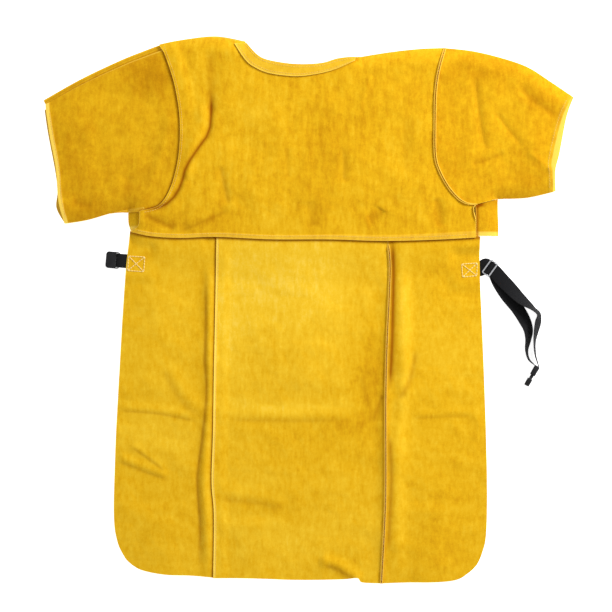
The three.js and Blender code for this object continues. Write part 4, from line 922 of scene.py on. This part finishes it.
# Tones of the skirt panels, mostly the hide's own. Painted shade darkens a strip along the crease beside the
# and along the centre's lower crease. Painted highlights run along the right seam roll.
# left seam roll. A painted highlight runs along the top of the centre storage fold, with painted shade below
# it
LEFT_SKIRT_TONES_AND_SHADE = [(-250, -400, 80, 80, -0.03), (-300, 100, 40, 40, -0.06), (-240, 10, 50, 60, 0.05),
                    (-195, -60, 14, 200, -0.05), (-300, -220, 40, 30, 0.05), (-235, -230, 40, 40, 0.06)]
CENTRE_SKIRT_TONES_AND_LIGHT = [(-70, 60, 120, 90, 0.17), (-140, -50, 40, 90, 0.1), (20, 40, 60, 60, 0.06),
                      (115, -110, 32, 90, -0.2), (-40, -176, 110, 12, 0.16), (0, -240, 140, 60, -0.08),
                      (75, -205, 40, 22, -0.14), (-60, -350, 90, 18, -0.1), (60, -450, 45, 30, -0.08),
                      (-110, -260, 40, 40, 0.05), (-20, -420, 80, 30, 0.06)]
RIGHT_SKIRT_TONES_AND_HIGHLIGHT = [(172, 0, 14, 150, 0.14), (165, -300, 14, 150, 0.08), (250, 80, 50, 50, -0.07),
                     (240, -60, 60, 80, 0.05), (250, -320, 50, 60, -0.05), (230, -430, 60, 40, -0.06)]
SEAM_FOOT = 0.9
RAW_EDGE_COLUMNS = 3
skirt_rows = shares(625, 2.5)
seam_stand = SEAM_FOOT + (FLANGE - SEAM_FOOT) * smooth(skirt_rows, 0.02, 0.04)
upright = np.full(skirt_rows.size, SPLAY)

left_skirt = panel(TOP_LEFT, BOTTOM_LEFT, SKIRT_LEFT_SIDE, beside(SEAM_LEFT, TUCK))
points = lay(left_skirt, shares(180, 2.4), skirt_rows, left_skirt_height)[::-1]
x, y = points[..., 0], points[..., 1]
seam_shadow = np.exp(-(nearest(SEAM_LEFT_CHAIN, x, y)[0] / 3.4) ** 2)
leather("skirt_left",
        [wall(points, shade=skirt_shade(x, y) + 0.8 * seam_shadow, tone=blotches(LEFT_SKIRT_TONES_AND_SHADE, x, y))],
        tone=0.075, streaks=STREAKS, seed=9)

centre_skirt = panel(TOP_CENTRE, BOTTOM_CENTRE, SEAM_LEFT, beside(SEAM_RIGHT, -SEAM_HALF))
points = lay(centre_skirt, shares(310, 2.4), skirt_rows, centre_skirt_height)
points = turn_up(points, upright, seam_stand)[::-1]
x, y = points[..., 0], points[..., 1]
standing = standing_edge(points)
raw_edge = np.broadcast_to(0.85 * (np.arange(points.shape[1]) < RAW_EDGE_COLUMNS), points.shape[:2])
# Painted shade on the standing edge and on its faces inside the seam.
leather("skirt_centre",
        [wall(points, pale=raw_edge, shade=skirt_shade(x, y) + 0.1 * standing,
              tone=blotches(CENTRE_SKIRT_TONES_AND_LIGHT, x, y), inside=INSIDE_PALE * (1 - standing),
              inside_shade=0.3 * standing, rim=SEAM_RIM)],
        tone=0.09, streaks=0.3, seed=10)

right_skirt = panel(TOP_RIGHT, BOTTOM_RIGHT, beside(SEAM_RIGHT, SEAM_HALF), SKIRT_RIGHT_SIDE)
points = lay(right_skirt, shares(175, 2.4), skirt_rows, skirt_height)
points = turn_up(points[:, ::-1], upright, seam_stand)[::-1, ::-1]
x, y = points[..., 0], points[..., 1]
standing = standing_edge(points)[:, ::-1]
# Painted shade on the standing edge and on its faces inside the seam.
leather("skirt_right",
        [wall(points, shade=skirt_shade(x, y) + 0.1 * standing, tone=blotches(RIGHT_SKIRT_TONES_AND_HIGHLIGHT, x, y),
              inside=INSIDE_PALE * (1 - standing), inside_shade=0.3 * standing, rim=SEAM_RIM)],
        tone=0.03, streaks=0.1, seed=11)

# Stitching: golden thread in short stitches along the hems, the lapped seams and the neck band, and thicker
# cream thread in a crossed box over each end of the webbing.
STITCH_LENGTH, STITCH_PITCH, THREAD_HALF = 3.6, 4.6, 0.42
STITCH_SIDES = 6


def thread_material(name, light, dark):
    """Twisted cotton thread with an uneven dye."""
    material, tree, sockets = principled(name)
    place = node(tree, "TexCoord", {}).outputs["Object"]
    twist = node(tree, "TexNoise", {"Vector": place, "Scale": 1400.0, "Detail": 2.0}).outputs["Fac"]
    tree.links.new(blend(tree, twist, (*dark, 1.0), (*light, 1.0)), sockets["Base Color"])
    tree.links.new(bumped(tree, twist, 0.5, 0.0002), sockets["Normal"])
    sockets["Roughness"].default_value = 0.8
    return material


def sew(name, runs, height, material, thick=THREAD_HALF, length=STITCH_LENGTH):
    """Stitches along flat runs of points. Each is a short six-sided tube that dips into the leather at its
    ends. Columns of the rings: share of the length, girth and lift."""
    turn = 2 * math.pi * np.arange(STITCH_SIDES) / STITCH_SIDES
    rings = [(-0.5, 0.5, -0.25), (-0.3, 0.95, 0.35), (0.3, 0.95, 0.35), (0.5, 0.5, -0.25)]
    corners, faces = [], []
    for run in runs:
        way = np.r_[0, np.cumsum(np.hypot(*np.diff(run, axis=0).T))]
        count = max(int(way[-1] / STITCH_PITCH), 1)
        middle = (np.arange(count) + 0.5) * way[-1] / count
        ends = [np.stack([np.interp(middle + d, way, run[:, k]) for k in (0, 1)], axis=1)
                for d in (-length / 2, length / 2)]
        start, end = (np.column_stack([e, height(e[:, 0], e[:, 1])]) for e in ends)
        for a, b in zip(start, end):
            along = b - a
            side = np.cross([0, 0, 1.0], along)
            side /= np.linalg.norm(side)
            up = np.cross(along, side) / np.linalg.norm(along)
            first = len(corners)
            for share, girth, lift in rings:
                for angle in turn:
                    corners.append((a + b) / 2 + along * share + side * math.cos(angle) * thick * girth
                                   + up * thick * (lift + girth * math.sin(angle)))
            for ring in range(len(rings) - 1):
                for k in range(STITCH_SIDES):
                    low, high = first + ring * STITCH_SIDES, first + (ring + 1) * STITCH_SIDES
                    after = (k + 1) % STITCH_SIDES
                    faces.append((low + k, low + after, high + after, high + k))
            last = first + (len(rings) - 1) * STITCH_SIDES
            faces.append(tuple(first + k for k in reversed(range(STITCH_SIDES))))
            faces.append(tuple(last + k for k in range(STITCH_SIDES)))
    piece = place_mesh(name, np.array(corners), faces)
    piece.data.materials.append(material)
    soften(piece, 60)
    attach(piece, "root")
    return piece


HEM_STITCH, ARMHOLE_STITCH, CUFF_STITCH, SKIRT_STITCH = 6.0, 4.0, 6.0, 4.0
gold_thread = thread_material("gold_thread", (0.93, 0.66, 0.17), (0.72, 0.43, 0.06))
cream_thread = thread_material("cream_thread", (0.97, 0.74, 0.29), (0.90, 0.63, 0.19))
along_seam = np.linspace(0.02, 0.98, 90)
sew("stitches_chest_hem", [HEM(along_seam) + np.array([0, HEM_STITCH])],
    lambda x, y: chest_height(x, y) + HEM_THICK / 2, gold_thread)
sew("stitches_left_armhole", [beside(LEFT_ARMHOLE, -ARMHOLE_STITCH)(along_seam)],
    lambda x, y: chest_height(x, y) + LEATHER / 2, gold_thread)
sew("stitches_neck_band", [BAND(along_seam) * (1 - w) + NECK(along_seam) * w for w in (0.2, 0.78)],
    lambda x, y: band_height(x, y) + LEATHER / 2, gold_thread)
sew("stitches_cuffs", [beside(LEFT_CUFF, CUFF_STITCH)(np.linspace(0.1, 0.96, 60)),
                       beside(RIGHT_CUFF, -CUFF_STITCH)(np.linspace(0.06, 0.96, 60))],
    lambda x, y: front_height(x, y) + HEM_THICK / 2, gold_thread)
sew("stitches_left_skirt_seam", [beside(SEAM_LEFT, SKIRT_STITCH)(np.linspace(0.03, 0.99, 120))],
    lambda x, y: centre_skirt_height(x, y) + LEATHER / 2, gold_thread)


def crossed_box(corners):
    """The four sides and the two diagonals of a sewn box."""
    a, b, c, d = (np.array(corner, float) for corner in corners)
    return [np.linspace(start, end, 12) for start, end in ((a, b), (b, c), (c, d), (d, a), (a, c), (b, d))]


def skirt_top(x, y):
    return skirt_height(x, y) + LEATHER / 2


BOX_THREAD_HALF, BOX_STITCH_LENGTH = 0.85, 4.8
BOXES = [("stitches_left_box", [(-323, 98), (-294, 96.3), (-296, 70), (-325, 72)]),
         ("stitches_right_box", [(277, 83.7), (304.9, 85.5), (304.2, 62.8), (278.6, 60.3)])]
for name, corners in BOXES:
    sew(name, crossed_box(corners), skirt_top, cream_thread, BOX_THREAD_HALF, BOX_STITCH_LENGTH)

# Left strap: a short piece of black webbing, folded round the buckle socket's bar and sewn under the skirt.
# The socket is moulded in black plastic, hollow, with an open mouth and a window at each side.
WEB_WIDTH, WEB_CLEAR = 25.0, 0.3
BAR_DIAGONAL = 0.71
NEAR_STEPS = 400
# Black yarn, and the painted shade in the hollows between yarns.
WEB_YARN, WEB_HOLLOW_SHADE = (0.011, 0.011, 0.0125), (0.0025, 0.0025, 0.003)
SOCKET_X, SOCKET_Z, SOCKET_LENGTH, SOCKET_BAR = -351.5, 5.0, 25.0, 3.0


def through(stations, count, knots):
    """Smooth path through 3-D stations. The knots are the distances' power: 0.5 keeps tight bends round."""
    p = np.asarray(stations, float)
    p = np.vstack([2 * p[0] - p[1], p, 2 * p[-1] - p[-2]])
    path = []
    for t in np.linspace(0, len(p) - 3, count + 1):
        i = min(int(t), len(p) - 4)
        a, b, c, d = p[i:i + 4]
        before, here, after = (np.linalg.norm(q) ** knots for q in (b - a, c - b, d - c))
        leave = here * ((b - a) / before - (c - a) / (before + here) + (c - b) / here)
        arrive = here * ((c - b) / here - (d - b) / (here + after) + (d - c) / after)
        s = t - i
        path.append(b + leave * s + (3 * (c - b) - 2 * leave - arrive) * s**2
                    + (2 * (b - c) + leave + arrive) * s**3)
    return np.array(path)


WEB_SECTION = [(-1.0, 0.3), (-0.97, 0.8), (-0.9, 1.0), (0.0, 1.0), (0.9, 1.0), (0.97, 0.8), (1.0, 0.3)]


def webbing(node_name, stations, count):
    """A woven band swept through stations of place and of tilt, or of the direction across its width."""
    places = np.array([station[:3] for station in stations], float)
    near = through(places, NEAR_STEPS * (len(places) - 1), 0.5)
    widths = []
    for i, station in enumerate(stations):
        if len(station) == 6:
            widths.append(station[3:])
            continue
        here = NEAR_STEPS * i
        ahead = near[min(here + 1, len(near) - 1)] - near[max(here - 1, 0)]
        ahead /= np.linalg.norm(ahead)
        level = np.array([-ahead[1], ahead[0], 0]) / math.hypot(ahead[0], ahead[1])
        tilt = math.radians(station[3])
        widths.append(level * math.cos(tilt) + np.cross(ahead, level) * math.sin(tilt))
    path, across = through(places, count, 0.5), through(widths, count, 0.0)
    ahead = np.gradient(path, axis=0)
    ahead /= np.linalg.norm(ahead, axis=1, keepdims=True)
    across -= ahead * (across * ahead).sum(axis=1, keepdims=True)
    across /= np.linalg.norm(across, axis=1, keepdims=True)
    out = np.cross(ahead, across)
    ring = WEB_SECTION + [(a, -b) for a, b in reversed(WEB_SECTION)]
    corners = np.stack([path + across * a * WEB_WIDTH / 2 + out * b * WEB_THICK / 2 for a, b in ring], axis=1)
    corners[..., 2] += np.maximum(0.1 - corners[..., 2].min(axis=1), 0)[:, None]
    sides = len(ring)
    faces = []
    for low in range(0, count * sides, sides):
        high = low + sides
        faces += [(low + k, low + (k + 1) % sides, high + (k + 1) % sides, high + k) for k in range(sides)]
    faces += [tuple(reversed(range(sides))), tuple(count * sides + k for k in range(sides))]
    piece = place_mesh(node_name + "_webbing", corners.reshape(-1, 3), faces)
    way = np.r_[0, np.cumsum(np.linalg.norm(np.diff(path, axis=0), axis=1))] * MM
    weave_map = piece.data.uv_layers.new(name="weave")
    for loop, corner in zip(piece.data.loops, weave_map.data):
        i, k = divmod(loop.vertex_index, sides)
        corner.uv = (way[i], ring[k][0] * WEB_WIDTH / 2 * MM)
    weave = woven(node_name + "_weave", WEB_YARN, WEB_HOLLOW_SHADE, 0.0022, 0.0026)
    piece.data.materials.append(weave)
    select_only(piece)
    bpy.ops.object.mode_set(mode="EDIT")
    bpy.ops.mesh.select_all(action="SELECT")
    bpy.ops.mesh.normals_make_consistent(inside=False)
    bpy.ops.object.mode_set(mode="OBJECT")
    soften(piece, 50)
    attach(piece, "root")
    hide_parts(node_name)
    return piece


def turned(degrees, x, y):
    angle = math.radians(degrees)
    return np.array([x * math.cos(angle) - y * math.sin(angle), x * math.sin(angle) + y * math.cos(angle)])


bar_x = SOCKET_X + SOCKET_LENGTH / 2 - SOCKET_BAR / 2 - STUB_X
loop_half = SOCKET_BAR * BAR_DIAGONAL + WEB_CLEAR + WEB_THICK / 2
low_z = WEB_THICK / 2 + WEB_CLEAR
high_z = low_z + WEB_THICK + GAP
LOOP_SLACK = 1.8
loop_x, loop_z = loop_half * 0.8 + LOOP_SLACK, loop_half * 0.7
stub_path = [
    (14, high_z), (0, high_z), (-16, high_z),
    (bar_x + 5, SOCKET_Z + loop_half - 0.6), (bar_x, SOCKET_Z + loop_half),
    (bar_x - loop_x, SOCKET_Z + loop_z), (bar_x - loop_half - LOOP_SLACK, SOCKET_Z),
    (bar_x - loop_x, SOCKET_Z - loop_z), (bar_x, SOCKET_Z - loop_half),
    (bar_x + 5, SOCKET_Z - loop_half - 0.6), (-16, low_z), (0, low_z), (14, low_z)]
stub_across = (*turned(STUB_TURN, 0, 1), 0.0)
stub = [(*(turned(STUB_TURN, along, 0) + (STUB_X, STUB_Y)), z, *stub_across) for along, z in stub_path]
webbing("strap_left", stub, 120)


def moulded_plastic(name):
    """Black nylon: a fine moulded grain and a soft gloss that varies a little."""
    material, tree, sockets = principled(name)
    place = node(tree, "TexCoord", {}).outputs["Object"]
    grain = node(tree, "TexNoise", {"Vector": place, "Scale": 2600.0, "Detail": 2.0}).outputs["Fac"]
    wear = node(tree, "TexNoise", {"Vector": place, "Scale": 160.0, "Detail": 4.0}).outputs["Fac"]
    colour = blend(tree, wear, (0.006, 0.006, 0.007, 1.0), (0.016, 0.016, 0.018, 1.0))
    tree.links.new(colour, sockets["Base Color"])
    gloss = node(tree, "MapRange", {"Value": wear, "To Min": 0.42, "To Max": 0.62})
    tree.links.new(gloss.outputs[0], sockets["Roughness"])
    tree.links.new(bumped(tree, grain, 0.25, 0.0002), sockets["Normal"])
    sockets["Specular IOR Level"].default_value = 0.25
    return material


socket = rounded_copy("buckle_socket", "buckle_socket_moulded", 0.0008)
socket.data.materials.append(moulded_plastic("socket_plastic"))

# Right strap: one long webbing, sewn under the skirt, through the metal slider, round the plug's bar and back
# under the slider. It has turned over on itself and lies on edge near the plug, which is moulded plastic.
SLIDER_X, SLIDER_Y, SLIDER_Z, SLIDER_TURN, SLIDER_THICK = 327.8, 76.5, 4.7, -36.0, 1.8
PLUG_PLACE = np.array([402.0, -117.5, 16.1])
PLUG_HEADING, PLUG_LEAN, PLUG_LENGTH, PLUG_BAR = math.radians(-120), math.radians(9), 40.0, 3.0


def slider_station(along, lift, tilt=0.0, z=None):
    x, y = turned(SLIDER_TURN, along, 0) + (SLIDER_X, SLIDER_Y)
    return x, y, SLIDER_Z + lift if z is None else z, tilt


plug_along = np.array([math.cos(PLUG_HEADING), math.sin(PLUG_HEADING), 0])
plug_side = np.array([-plug_along[1], plug_along[0], 0])
plug_up = np.array([0, 0, math.cos(PLUG_LEAN)]) - plug_side * math.sin(PLUG_LEAN)
plug_face = np.cross(plug_along, plug_up)
bar_place = PLUG_PLACE - plug_along * (PLUG_LENGTH / 2 - PLUG_BAR / 2)
plug_loop = PLUG_BAR * BAR_DIAGONAL + WEB_CLEAR + WEB_THICK / 2


def loop_station(degrees):
    angle = math.radians(degrees)
    place = bar_place + plug_along * math.sin(angle) * plug_loop + plug_face * math.cos(angle) * plug_loop
    return (*place, *-plug_up)


over = SLIDER_THICK / 2 + WEB_THICK / 2 + WEB_CLEAR
first, turn = (0, 1) if plug_face[0] > 0 else (180, -1)
LOOP_STEPS = (0, 45, 90, 135, 180)
to_slider = [(279, 73.8, low_z, 0), (300, 73.8, low_z, 0), (311, 74.6, low_z + 0.1, 0)]
in_slider = [slider_station(along, lift) for along, lift in (
    (-9, -over), (-6, -over - 0.1), (-1, over), (1, over), (6, -over - 0.1), (10, -over))]
to_plug = [
    (347, 58.5, 3.4, -4), (360, 44.8, 4.8, -12), (384.7, 19.4, 8.8, -38), (405, 3.5, 12.6, -68),
    (414.8, -6.5, 13.2, -68), (413.8, -20, 12.4, -58), (410.2, -37, 13, -64), (407.3, -56.7, 13.6, -75),
    (408.6, -80, 14.6, -79)]
round_bar = [loop_station(first + turn * step) for step in LOOP_STEPS]
back_to_slider = [
    (397, -88, 14.2, -101), (393.0, -72, 13.6, -108), (395.8, -52, 13.0, -121), (396, -35.1, 10.8, -139),
    (389.8, -17.1, 6.6, -155), (377, 4.5, 4.6, -163), (359, 27.5, 2.4, -174), (345, 50, low_z, -180)]
under_slider = [slider_station(9, 0, -180, low_z), slider_station(3, -over - 0.1, -180),
                slider_station(0.5, -over - 0.05, -180)]
webbing("strap_right", [*to_slider, *in_slider, *to_plug, *round_bar, *back_to_slider, *under_slider], 360)

plug = rounded_copy("buckle_plug", "buckle_plug_moulded", 0.0007)
plug.data.materials.append(moulded_plastic("plug_plastic"))

slider = rounded_copy("slider", "slider_pressed", 0.0005)
slider_metal, tree, sockets = principled("slider_metal")
place = node(tree, "TexCoord", {}).outputs["Object"]
scratches = {"Vector": place, "Scale": 420.0, "Detail": 5.0, "Roughness": 0.65}
rubbed = node(tree, "TexNoise", scratches).outputs["Fac"]
gloss = node(tree, "MapRange", {"Value": rubbed, "To Min": 0.22, "To Max": 0.5})
tree.links.new(gloss.outputs[0], sockets["Roughness"])
colour = blend(tree, rubbed, (0.42, 0.43, 0.45, 1.0), (0.72, 0.73, 0.75, 1.0))
tree.links.new(colour, sockets["Base Color"])
sockets["Metallic"].default_value = 0.9
slider.data.materials.append(slider_metal)
